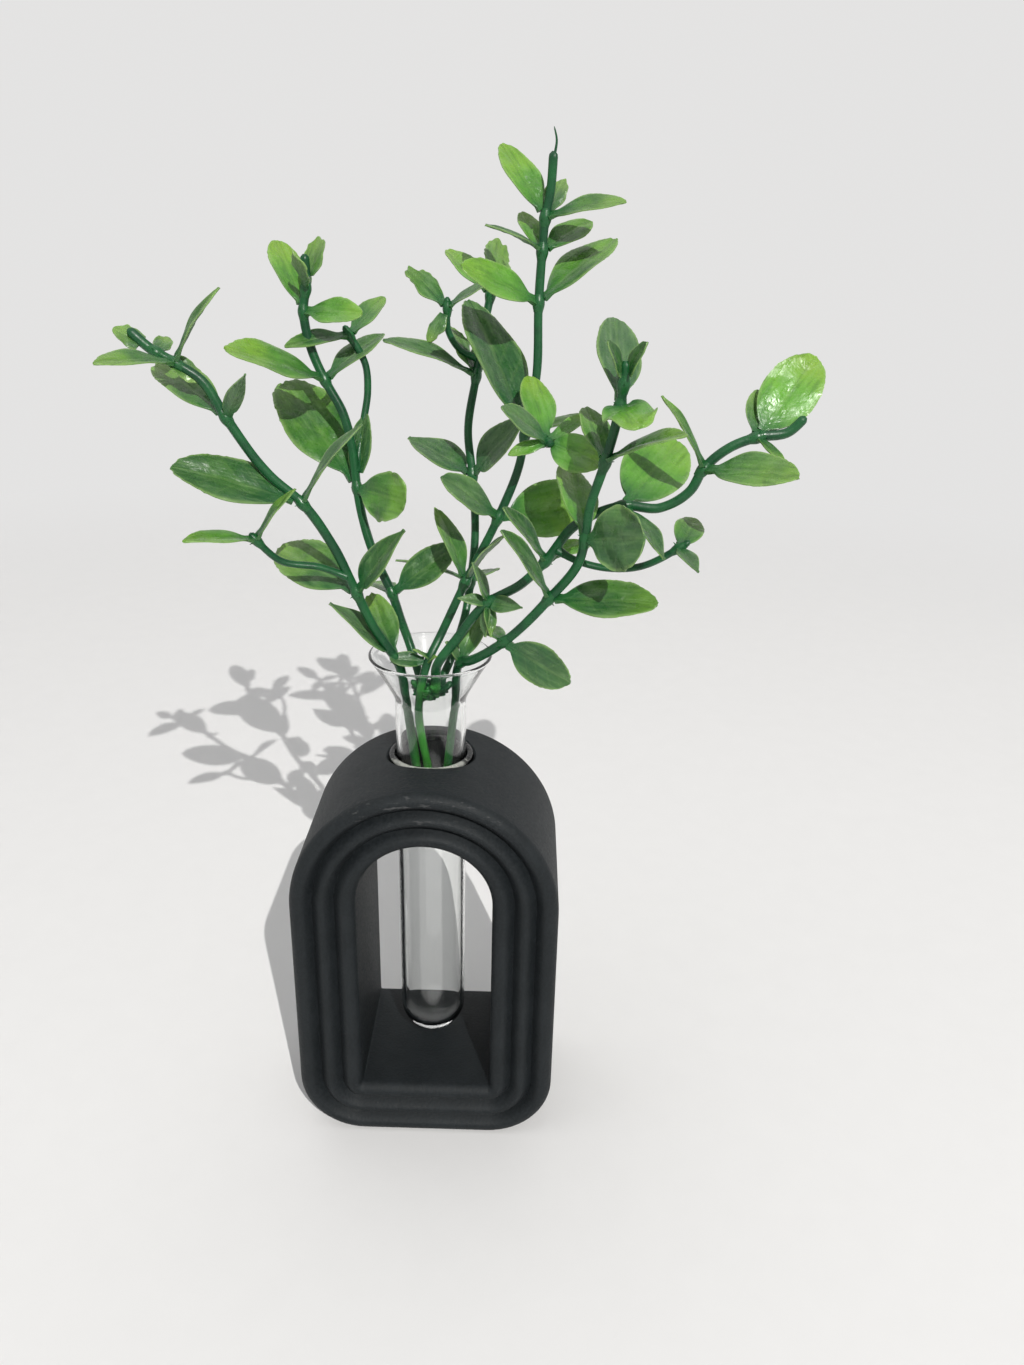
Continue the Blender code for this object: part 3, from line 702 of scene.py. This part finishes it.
def add_piece(name, bm, look, sharp=STALK_SHARP):
    """A new object from a bmesh, shaded smooth but for its sharp edges."""
    mesh = bpy.data.meshes.new(name)
    bm.to_mesh(mesh)
    bm.free()
    mesh.shade_smooth()
    mesh.set_sharp_from_angle(angle=radians(sharp))
    mesh.materials.append(look)
    piece = bpy.data.objects.new(name, mesh)
    bpy.context.scene.collection.objects.link(piece)
    return piece


def settle(piece, body, slot, *nodes):
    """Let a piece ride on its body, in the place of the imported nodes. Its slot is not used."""
    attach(piece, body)
    if nodes:
        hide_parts(*nodes)


def combine(piece, other, operation, sharp=STALK_SHARP):
    """Cut or join another object into a piece for good, and remove that object."""
    change = piece.modifiers.new("combine", "BOOLEAN")
    change.operation = operation
    change.solver = "EXACT"
    change.object = other
    graph = bpy.context.evaluated_depsgraph_get()
    mesh = bpy.data.meshes.new_from_object(piece.evaluated_get(graph))
    piece.modifiers.clear()
    piece.data = mesh
    mesh.set_sharp_from_angle(angle=radians(sharp))
    bpy.data.objects.remove(other)


def face_out(bm):
    """Turn every face outward."""
    bmesh.ops.recalc_face_normals(bm, faces=bm.faces)


def new_verts(made):
    """The vertices that an extrusion made."""
    return [item for item in made["geom"] if isinstance(item, bmesh.types.BMVert)]


def loft(bm, rings):
    """Extrude a closed line through rings of points. Gives the first and last rings' edges."""
    verts = [bm.verts.new(point) for point in rings[0]]
    first = edges = [bm.edges.new(pair) for pair in zip(verts, verts[1:] + verts[:1])]
    for ring in rings[1:]:
        follower = {}
        for vert in new_verts(bmesh.ops.extrude_edge_only(bm, edges=edges)):
            for edge in vert.link_edges:
                follower[edge.other_vert(vert)] = vert
        verts = [follower[vert] for vert in verts]
        for vert, point in zip(verts, ring):
            vert.co = point
        edges = [bm.edges.get(pair) for pair in zip(verts, verts[1:] + verts[:1])]
    return first, edges


def capped_loft(bm, rings):
    """A loft whose ends are filled."""
    for edges in loft(bm, rings):
        bmesh.ops.edgeloop_fill(bm, edges=edges)
    face_out(bm)


def turn_profile(bm, points, steps, closed=False):
    """Spin (radius, height) points round Z into a closed shape."""
    verts = [bm.verts.new((radius, 0, height)) for radius, height in points]
    pairs = list(zip(verts, verts[1:] + verts[:1]))
    edges = [bm.edges.new(pair) for pair in (pairs if closed else pairs[:-1])]
    bmesh.ops.spin(
        bm, geom=verts + edges, axis=(0, 0, 1), cent=(0, 0, 0), angle=FULL_TURN, steps=steps,
        use_merge=True,
    )
    bmesh.ops.remove_doubles(bm, verts=bm.verts, dist=MERGE_DISTANCE)
    face_out(bm)


def arc(centre_x, centre_z, radius, start, end, steps):
    """Points on an arc in the XZ plane, angles in degrees from +X to +Z."""
    points = []
    for step in range(steps + 1):
        angle = radians(lerp(start, end, step / steps))
        points.append((centre_x + radius * cos(angle), centre_z + radius * sin(angle)))
    return points


# The arch


def arch_outline(share):
    """The arch's outline from the window's edge (share 0) to its outside (share 1)."""
    half = lerp(WINDOW_WIDTH, ARCH_WIDTH, share) / 2
    bottom = lerp(SILL_HEIGHT, 0, share)
    top = lerp(ARCH_HEIGHT - CROWN_HEIGHT, ARCH_HEIGHT, share)
    corner = lerp(SILL_CORNER_RADIUS, FOOT_RADIUS, share)
    inset = half - corner
    right = arc(inset, bottom + corner, corner, -90, 0, ARCH_CORNER_STEPS)
    over = arc(0, top - half, half, 0, 180, ARCH_TOP_STEPS)
    left = arc(-inset, bottom + corner, corner, 180, 270, ARCH_CORNER_STEPS)
    return right + over + left


def rib_swell(rib, across):
    """How far a rib stands out, 0 to 1: round at the frame's own edges, softer into a groove."""
    rim = rib == 0 and across < 0.5 or rib == RIB_COUNT - 1 and across > 0.5
    if rim:
        return 2 * sqrt(across * (1 - across))
    return sin(pi * across) ** GROOVE_SOFTNESS


def arch_sections():
    """(share, y) of the outlines from the window's back edge, over the ribs, to the outer one."""
    back = ARCH_HIGH.y
    groove = ARCH_LOW.y + RIB_DEPTH
    inner = []
    for step in range(BACK_EDGE_STEPS + 1):
        turn = pi / 2 * step / BACK_EDGE_STEPS
        depth = back - BACK_EDGE_RADIUS * (1 - cos(turn))
        inner.append((BACK_EDGE_SHARE * (1 - sin(turn)), depth))
    for step in range(1, ARCH_WALL_STEPS):
        inner.append((0, lerp(back - BACK_EDGE_RADIUS, groove, step / ARCH_WALL_STEPS)))
    ribs = []
    for rib in range(RIB_COUNT):
        for step in range(RIB_STEPS):
            across = (1 - cos(pi * step / RIB_STEPS)) / 2
            ribs.append(((rib + across) / RIB_COUNT, groove - RIB_DEPTH * rib_swell(rib, across)))
    outer = [(1 - share, y) for share, y in reversed(inner)]
    return inner + ribs + [(1, groove)] + outer


def hole_ring(radius, drop=None, height=None):
    """A ring round the tube's axis, at a height or a drop below the crown's curve."""
    half = ARCH_WIDTH / 2
    ring = []
    for step in range(TUBE_STEPS):
        angle = FULL_TURN * step / TUBE_STEPS
        x = radius * cos(angle)
        crown = ARCH_HEIGHT - half + sqrt(half * half - x * x)
        z = crown - drop if height is None else height
        ring.append((x, TUBE_SETBACK + radius * sin(angle), z))
    return ring


def make_arch():
    """The ribbed arch with a chamfered hole for the tube through its crown."""
    look = matte_print_look()
    bm = bmesh.new()
    rings = [[(x, y, z) for x, z in arch_outline(share)] for share, y in arch_sections()]
    first, last = loft(bm, rings)
    bmesh.ops.bridge_loops(bm, edges=first + last)
    face_out(bm)
    arch = add_piece("ribbed_arch", bm, look, PRINT_SHARP)

    over = ARCH_HEIGHT + HOLE_CHAMFER
    below = ARCH_HEIGHT - 2 * CROWN_HEIGHT
    wide = HOLE_RADIUS + HOLE_CHAMFER
    bm = bmesh.new()
    capped_loft(bm, [
        hole_ring(HOLE_RADIUS, height=below),
        hole_ring(HOLE_RADIUS, drop=HOLE_CHAMFER),
        hole_ring(wide, drop=0),
        hole_ring(wide + HOLE_CHAMFER, drop=-HOLE_CHAMFER),
        hole_ring(wide + HOLE_CHAMFER, height=over + CROWN_HEIGHT),
    ])
    combine(arch, add_piece("tube_hole", bm, look), "DIFFERENCE", PRINT_SHARP)
    settle(arch, "arch", "matte_black", "arch_frame")


# The tube and its ring


def flare(share):
    """How far the mouth's cone has opened, 0 to 1, a share of the way up it."""
    return (hypot(share, FLARE_BEND) - FLARE_BEND) / (hypot(1, FLARE_BEND) - FLARE_BEND)


def tube_wall(radius, mouth, bottom, start):
    """(radius, height) of one side of the glass, from the bottom's middle up to the lip."""
    squash = (TUBE_RADIUS - bottom) / radius
    points = [(0, bottom)]
    for out, height in arc(0, 0, radius, -90, 0, BOTTOM_STEPS)[1:]:
        points.append((out, TUBE_RADIUS + height * squash))
    for step in range(1, WALL_STEPS + 1):
        points.append((radius, lerp(TUBE_RADIUS, start, step / WALL_STEPS)))
    for step in range(1, CONE_STEPS):
        share = step / CONE_STEPS
        height = start + (FLARE_HEIGHT - LIP_WALL / 2) * share
        points.append((lerp(radius, mouth, flare(share)), height))
    return points


def make_tube():
    """The glass tube: round bottom, straight wall, cone mouth with a fire-polished bead."""
    lip = LIP_WALL / 2
    start = TUBE_LENGTH - FLARE_HEIGHT
    inside = tube_wall(TUBE_RADIUS - TUBE_WALL, MOUTH_RADIUS - LIP_WALL, BOTTOM_WALL, start)
    outside = tube_wall(TUBE_RADIUS, MOUTH_RADIUS, 0, start)
    bead = arc(MOUTH_RADIUS - lip, TUBE_LENGTH - lip, lip + LIP_BEAD, *LIP_TURN, LIP_STEPS)
    bm = bmesh.new()
    turn_profile(bm, inside + bead + outside[::-1], TUBE_STEPS)
    bmesh.ops.translate(bm, verts=bm.verts, vec=(0, TUBE_SETBACK, TUBE_LOW.z))
    tube = add_piece("flared_tube", bm, clear_glass_look(), GLASS_SHARP)
    settle(tube, "tube", "clear_glass", "glass_tube")


def make_ring():
    """The soft ring that keeps the tube in the middle of the hole, a little uneven."""
    centre = (RING_HIGH.x + TUBE_RADIUS) / 2 + RING_OUTSET
    bm = bmesh.new()
    section = arc(centre, 0, RING_SECTION / 2, 90, -270, RING_STEPS)[:-1]
    turn_profile(bm, section, TUBE_STEPS, closed=True)
    often, seldom = RING_WAVE_COUNTS
    for vert in bm.verts:
        bearing = atan2(vert.co.y, vert.co.x)
        vert.co.z *= 1 + RING_WAVE * sin(often * bearing) * cos(seldom * bearing)
    bmesh.ops.translate(bm, verts=bm.verts, vec=(0, TUBE_SETBACK, RING_HEIGHT))
    ring = add_piece("soft_ring", bm, clear_silicone_look())
    settle(ring, "ring", "clear_silicone", "seat_ring")


# The stalks


def smooth_route(points):
    """A curve through the points, as a function of the point's number with its fraction."""
    steps = [after - before for before, after in zip(points, points[1:])]
    spans = [step.length for step in steps]
    ways = [step / span for step, span in zip(steps, spans)]
    slopes = [ways[0]]
    for index in range(1, len(ways)):
        weight = spans[index - 1] / (spans[index - 1] + spans[index])
        slopes.append(ways[index - 1].lerp(ways[index], weight))
    slopes.append(ways[-1])

    def at(number):
        index = min(int(number), len(spans) - 1)
        t = number - index
        ease = 3 * t ** 2 - 2 * t ** 3
        leave = spans[index] * (t ** 3 - 2 * t ** 2 + t)
        arrive = spans[index] * (t ** 3 - t ** 2)
        straight = points[index].lerp(points[index + 1], ease)
        return straight + slopes[index] * leave + slopes[index + 1] * arrive

    return at


class Rod:
    """A stem, twig or thread: its smooth route and the radius along it."""

    def __init__(self, points, foot_radius, tip_radius, joint=0.0):
        self.points = points
        self.at = smooth_route(points)
        self.last = len(points) - 1
        self.foot_radius = foot_radius
        self.tip_radius = tip_radius
        self.joint = joint

    def radius(self, number):
        """The rod's radius at a point of its route."""
        return lerp(self.foot_radius, self.tip_radius, number / self.last)

    def direction(self, number):
        """The way the rod runs at a point of its route."""
        step = 0.01
        return (self.at(number + step) - self.at(number - step)).normalized()

    def numbers(self):
        """Point numbers at even steps along the route."""
        found = []
        for index in range(self.last):
            span = (self.points[index + 1] - self.points[index]).length
            count = ceil(span / STALK_STEP)
            found += [index + step / count for step in range(count)]
        return found + [self.last]

    def rings(self):
        """Rings round the rod, with its moulding seams, rounded ends and swollen joint."""
        numbers = self.numbers()
        places = [self.at(number) for number in numbers]
        travelled = [0.0]
        for before, after in zip(places, places[1:]):
            travelled.append(travelled[-1] + (after - before).length)
        turn = (places[1] - places[0]).to_track_quat("Z", "Y")
        found = []
        for index, number in enumerate(numbers):
            ahead = places[min(index + 1, len(places) - 1)] - places[max(index - 1, 0)]
            turn = (turn @ Vector((0, 0, 1))).rotation_difference(ahead) @ turn
            radius = self.radius(number)
            end = min(travelled[index], travelled[-1] - travelled[index]) / radius
            round_end = sqrt(max(END_BLUNTNESS, 1 - max(0, 1 - end) ** 2))
            swell = 1 + self.joint * exp(-((travelled[index] / JOINT_LENGTH) ** 2))
            swell += SWELL_HEIGHT * noise.noise(places[index] / SWELL_LENGTH)
            ring = []
            for side in range(STALK_SIDES):
                angle = FULL_TURN * side / STALK_SIDES
                seam = 1 + SEAM_HEIGHT * abs(cos(angle)) ** SEAM_SHARPNESS
                out = radius * round_end * swell * seam
                offset = Vector((out * cos(angle), out * sin(angle), 0))
                ring.append(places[index] + turn @ offset)
            found.append(ring)
        return found

    def piece(self, name, look):
        """The rod as an object."""
        bm = bmesh.new()
        capped_loft(bm, self.rings())
        return add_piece(name, bm, look)


def rim_points(points):
    """Points in millimetres from the rim's centre, as places in the model."""
    return [RIM_CENTRE + Vector(point) * MM for point in points]


def axis_point(out, bearing, height):
    """A point out from the tube's axis, at a height over the rim."""
    angle = radians(bearing)
    return RIM_CENTRE + Vector((out * cos(angle), out * sin(angle), height))


def main_rod(sprig):
    """The sprig's stem, from its foot, past its waist and the lip and along its route."""
    in_bore = TUBE_RADIUS - TUBE_WALL - STEM_RADIUS - STEM_WALL_CLEARANCE
    in_mouth = MOUTH_RADIUS - TUBE_WALL - STEM_RADIUS
    depth = sprig["depth"]
    leads = [
        (in_bore, sprig["foot"], -depth),
        (in_bore, sprig["waist"], -min(FLARE_HEIGHT, depth / 2)),
        (in_mouth, sprig["lip"], 0),
    ]
    points = [axis_point(room * lean, bearing, height) for room, (bearing, lean), height in leads]
    return Rod(points + rim_points(sprig["route"]), STEM_RADIUS, STEM_TIP_RADIUS)


def twig_rod(twig, stem):
    """A twig that leaves its stem's middle, thicker there."""
    start = stem.at(twig["start"] + STEM_LEAD_POINTS)
    return Rod([start] + rim_points(twig["route"]), TWIG_RADIUS, TWIG_RADIUS, JOINT_SWELL)


# The leaves


def leaf_half(form, length, along, across, seed):
    """Half of a leaf's width a share of the way along it, with its torn edge."""
    petiole = PETIOLE_SHARE * min(1, (PETIOLE_ASPECT / form.aspect) ** 3)
    spread = min(max(0, (along - petiole) / (1 - petiole)), 1)
    swell = spread ** form.shoulder
    taper = form.wedge if swell < 0.5 else form.blunt
    rounded = max(0, sin(pi * swell)) ** taper
    blade = length * form.aspect / 2 * max(rounded, TIP_SHARE * smoothstep(0.5, 1, spread))
    half = hypot(blade, PETIOLE_WIDTH / 2 * (1 - spread))
    tear = noise.noise(Vector((along * length / form.tear, copysign(EDGE_SEED, across), seed)))
    return half * (1 + form.torn * tear * smoothstep(*EDGE_TORN_SPAN, spread))


def leaf_surface(form, length, along, across, seed):
    """A point of the leaf's middle sheet: X along it, Y across it, Z out of its upper face."""
    half = leaf_half(form, length, along, across, seed)
    y = across * half
    keel = (hypot(y, KEEL_RADIUS) - KEEL_RADIUS) * (1 - HALF_BULGE * abs(across))
    swing = sin(FULL_TURN * (WAVES_ALONG * along + WAVES_ACROSS * across + seed))
    wave = form.wave * half * across ** 2 * swing
    z = form.fold * keel - form.droop * length * along ** 2 + wave
    tear = noise.noise(Vector((y / form.tear, TIP_SEED, seed)))
    x = along * length * (1 + TIP_TEAR * form.torn * tear * smoothstep(*TIP_TORN_SPAN, along))
    return Vector((x, y, z))


def leaf_relief(length, along, across, y, seed):
    """How far the midrib, veins and puckers sink the upper face."""
    edge = 1 - abs(across) ** 4
    blade = smoothstep(PETIOLE_SHARE, 2 * PETIOLE_SHARE, along)
    midrib = MIDRIB_DEPTH * exp(-((y / MIDRIB_WIDTH) ** 2)) * (1 - along ** 3)
    phase = VEIN_PAIRS * along - VEIN_SLANT * abs(across)
    vein = VEIN_DEPTH * max(0, cos(FULL_TURN * phase)) ** 4
    pucker = PUCKER_DEPTH * noise.noise(Vector((along * length, y, seed)) / PUCKER_SIZE)
    return blade * (midrib + edge * (vein + pucker))


def fill_leaf(bm, leaf, place, start):
    """A leaf that starts a distance from place, with its tone on its vertices."""
    length, heading, rise, roll, kind = leaf
    length = length * MM
    tone, form = kind.split()
    form = FORMS[form]
    seed = CHANCE.uniform(0, HIGHEST_SEED)
    light, lime, grey = TONES[tone]
    light += CHANCE.uniform(-LIGHT_SPREAD, LIGHT_SPREAD)
    layers = bm.verts.layers.float_vector
    spot_layer, tone_layer, grain_layer = [layers[name] for name in LEAF_LAYERS]
    grid = bmesh.ops.create_grid(bm, x_segments=LEAF_ROWS, y_segments=LEAF_COLUMNS, size=1)
    lower = grid["verts"]
    faces = {face for vert in lower for face in vert.link_faces}
    upper = new_verts(bmesh.ops.extrude_face_region(bm, geom=list(faces), use_keep_orig=True))
    turn = (
        Matrix.Translation(place)
        @ Matrix.Rotation(radians(heading), 4, "Z")
        @ Matrix.Rotation(radians(-rise), 4, "Y")
        @ Matrix.Rotation(radians(-roll), 4, "X")
    )
    for verts, under in ((upper, 0), (lower, 1)):
        for vert in verts:
            row = 1 - (1 - (vert.co.x + 1) / 2) ** ROW_CROWDING
            along = lerp(start / length, 1, row)
            across = vert.co.y
            point = leaf_surface(form, length, along, across, seed)
            slim = smoothstep(*PETIOLE_SLIMS, along)
            thickness = lerp(PETIOLE_THICKNESS, BLADE_THICKNESS, slim)
            thickness = lerp(thickness, EDGE_THICKNESS, slim * across ** 4)
            relief = leaf_relief(length, along, across, point.y, seed)
            point.z += (-1 if under else 1) * thickness / 2 - relief
            vert[spot_layer] = (along, across, under)
            vert[tone_layer] = (light, lime, grey)
            vert[grain_layer] = (point.x, point.y, seed)
            vert.co = turn @ point


def fill_collar(bm, rod, number):
    """The bead that the leaves grow from, with a spur or two left by the mould."""
    radius = rod.radius(number)
    inner = radius / COLLAR_FIT
    profile = [(inner, -COLLAR_LENGTH / 2)]
    for step in range(BEAD_STEPS + 1):
        share = step / BEAD_STEPS
        out = COLLAR_WALL * sin(pi * share) ** COLLAR_ROUNDNESS
        profile.append((radius * COLLAR_FIT + out, COLLAR_LENGTH * (share - 0.5)))
    profile.append((inner, COLLAR_LENGTH / 2))
    bead = bmesh.new()
    turn_profile(bead, profile[::-1], COLLAR_STEPS, closed=True)
    for _ in range(CHANCE.choice(SPUR_COUNTS)):
        round_stem = Matrix.Rotation(CHANCE.uniform(0, FULL_TURN), 4, "Z")
        lean = Matrix.Rotation(radians(CHANCE.uniform(*SPUR_LEAN)), 4, "Y")
        out = Matrix.Translation((0, 0, radius + COLLAR_WALL / 2 + SPUR_LENGTH / 2))
        bmesh.ops.create_cone(
            bead, cap_ends=True, segments=SPUR_SIDES, radius1=SPUR_RADIUS, radius2=SPUR_RADIUS / 4,
            depth=SPUR_LENGTH, matrix=round_stem @ lean @ out,
        )
    turn = rod.direction(number).to_track_quat("Z", "Y").to_matrix().to_4x4()
    turn = Matrix.Translation(rod.at(number)) @ turn
    bmesh.ops.transform(bead, matrix=turn, verts=bead.verts)
    mesh = bpy.data.meshes.new("bead")
    bead.to_mesh(mesh)
    bead.free()
    before = set(bm.verts)
    bm.from_mesh(mesh)
    bpy.data.meshes.remove(mesh)
    spot_layer = bm.verts.layers.float_vector["leaf_place"]
    for vert in bm.verts:
        if vert not in before:
            vert[spot_layer] = COLLAR_PLACE


def leaf_start(leaf, rod, number):
    """How far from the stem's axis a leaf comes out of its collar."""
    heading, rise = radians(leaf[1]), radians(leaf[2])
    level = cos(rise)
    way = Vector((cos(heading) * level, sin(heading) * level, sin(rise)))
    slant = max(way.cross(rod.direction(number)).length, LEAST_SLANT)
    return (rod.radius(number) + COLLAR_WALL / 3) / slant


def new_foliage():
    """A bmesh with the layers that the leaves' material reads."""
    bm = bmesh.new()
    for name in LEAF_LAYERS:
        bm.verts.layers.float_vector.new(name)
    return bm


def make_whorl(name, node, leaves, rod, number, look):
    """A collar on the rod with its leaves."""
    bm = new_foliage()
    for leaf in leaves:
        fill_leaf(bm, leaf, rod.at(number), leaf_start(leaf, rod, number))
    face_out(bm)
    fill_collar(bm, rod, number)
    settle(add_piece(name, bm, look, LEAF_SHARP), "greenery", "leaf_green", node)


def make_sprig(sprig, stalk, leaf):
    """One stem with its twigs and thread, and the whorls of leaves on them."""
    name = sprig["name"]
    stem = main_rod(sprig)
    piece = stem.piece(f"{name}_stalk", stalk)
    groups = [(stem, STEM_LEAD_POINTS, sprig["leaves"])]
    for twig in sprig["twigs"]:
        rod = twig_rod(twig, stem)
        combine(piece, rod.piece(f"{name}_twig", stalk), "UNION")
        groups.append((rod, TWIG_LEAD_POINTS, twig["leaves"]))
    if "thread" in sprig:
        thread = Rod(rim_points(sprig["thread"]), THREAD_RADIUS, THREAD_RADIUS / 2)
        combine(piece, thread.piece(f"{name}_thread", stalk), "UNION")
    settle(piece, "greenery", "stem_green", f"{name}_stem")
    count = 0
    for rod, lead, leaves_at in groups:
        for number, leaves in leaves_at.items():
            count += 1
            whorl, node = f"{name}_whorl_{count}", f"{name}_leaves_{count}"
            make_whorl(whorl, node, leaves, rod, number + lead, leaf)


def make_knot(stalk, leaf):
    """The lumpy knot with its stubs, and the small leaves at the lip."""
    centre = (KNOT_LOW + KNOT_HIGH) / 2
    reach = (KNOT_HIGH - KNOT_LOW) / 2
    bm = bmesh.new()
    made = bmesh.ops.create_icosphere(bm, subdivisions=KNOT_ROUNDS, radius=1)["verts"]
    for vert in made:
        lumps = (height * noise.noise(vert.co * often) for height, often in KNOT_LUMPS)
        lump = sum(lumps, KNOT_SHRINK)
        vert.co = centre + Vector([way * size * lump for way, size in zip(vert.co, reach)])
    face_out(bm)
    knot = add_piece("stem_knot", bm, stalk, KNOT_SHARP)
    for stub in KNOT_STUBS:
        rod = Rod(rim_points(stub), STUB_RADIUS, STUB_RADIUS)
        combine(knot, rod.piece("knot_stub", stalk), "UNION", KNOT_SHARP)
    settle(knot, "greenery", "stem_green", "bunch_knot")

    bm = new_foliage()
    for place, blade in LIP_LEAVES:
        fill_leaf(bm, blade, *rim_points([place]), STUB_RADIUS)
    face_out(bm)
    settle(add_piece("lip_leaves", bm, leaf, LEAF_SHARP), "greenery", "leaf_green")


# The stage, the light and the camera


def sweep_look():
    """Pale card that takes shadows near the vase and stays evenly pale far behind it."""
    look = Look("pale_sweep")
    look.set(Base_Color=look.mix(look.noise(CARD_MOTTLE, 5), CARD_DARK, CARD_LIGHT))
    look.set(Roughness=0.9, Specular_IOR_Level=0.1)
    distance = look.put("VectorMath", dict(operation="LENGTH"), Vector=look.place)
    far = look.ease(distance.outputs["Value"], *FLOOR_FADE)
    far = look.sum("MULTIPLY", far, look.background_share())
    glow = look.put("Emission", Color=PALE, Strength=1.0)
    look.blend(far, look.shader.outputs[0], glow.outputs[0], "Material Output")
    return look.block


def make_stage():
    """A pale floor that sweeps up into a backdrop."""
    bm = bmesh.new()
    front, turn_at, bend, top, half_width = -2.5, 0.9, 0.6, 2.2, 3.0
    profile = [(front, 0)] + arc(turn_at, bend, bend, -90, 0, SWEEP_STEPS) + [(turn_at + bend, top)]
    verts = [bm.verts.new((-half_width, y, z)) for y, z in profile]
    edges = [bm.edges.new(pair) for pair in zip(verts, verts[1:])]
    fresh = new_verts(bmesh.ops.extrude_edge_only(bm, edges=edges))
    bmesh.ops.translate(bm, verts=fresh, vec=(2 * half_width, 0, 0))
    face_out(bm)
    add_piece("pale_sweep", bm, sweep_look())


def make_light():
    """A wide soft lamp overhead, a small one on the right and a pale room."""
    for name, offset, size, energy, colour in LAMPS:
        lamp = bpy.data.lights.new(name, "AREA")
        lamp.size = size
        lamp.energy = energy
        lamp.color = colour
        holder = bpy.data.objects.new(name, lamp)
        holder.location = LIT_POINT + Vector(offset)
        holder.rotation_euler = Vector(offset).to_track_quat("Z", "Y").to_euler()
        bpy.context.scene.collection.objects.link(holder)
    room = Look("pale_room", "worlds", "Background")
    room.set(Color=ROOM_TINT, Strength=ROOM_STRENGTH)
    seen = room.put("Background", Color=PALE)
    share = room.background_share()
    room.blend(share, room.shader.outputs[0], seen.outputs[0], "World Output")
    bpy.context.scene.world = room.block


def make_camera():
    """The camera at the photograph's viewpoint."""
    camera = bpy.data.cameras.new("camera")
    camera.sensor_width = SENSOR
    camera.lens = CAMERA_FOCUS_PIXELS * SENSOR / PHOTO_HEIGHT_PIXELS
    camera.clip_start = CLIP_START
    holder = bpy.data.objects.new("camera", camera)
    ahead = Vector((
        sin(CAMERA_YAW) * cos(CAMERA_PITCH),
        cos(CAMERA_YAW) * cos(CAMERA_PITCH),
        -sin(CAMERA_PITCH),
    ))
    level = ahead.to_track_quat("-Z", "Y")
    roll = Matrix.Rotation(CAMERA_ROLL, 4, "Z")
    holder.matrix_world = Matrix.Translation(CAMERA_PLACE) @ level.to_matrix().to_4x4() @ roll
    bpy.context.scene.collection.objects.link(holder)
    bpy.context.scene.camera = holder


def main():
    """Dress the vase, light it and set the camera."""
    make_camera()
    make_stage()
    make_light()
    make_arch()
    make_tube()
    make_ring()
    stalk = stalk_look()
    leaf = leaf_look()
    for sprig in SPRIGS:
        make_sprig(sprig, stalk, leaf)
    make_knot(stalk, leaf)
    bpy.context.scene.view_settings.view_transform = "Standard"


main()
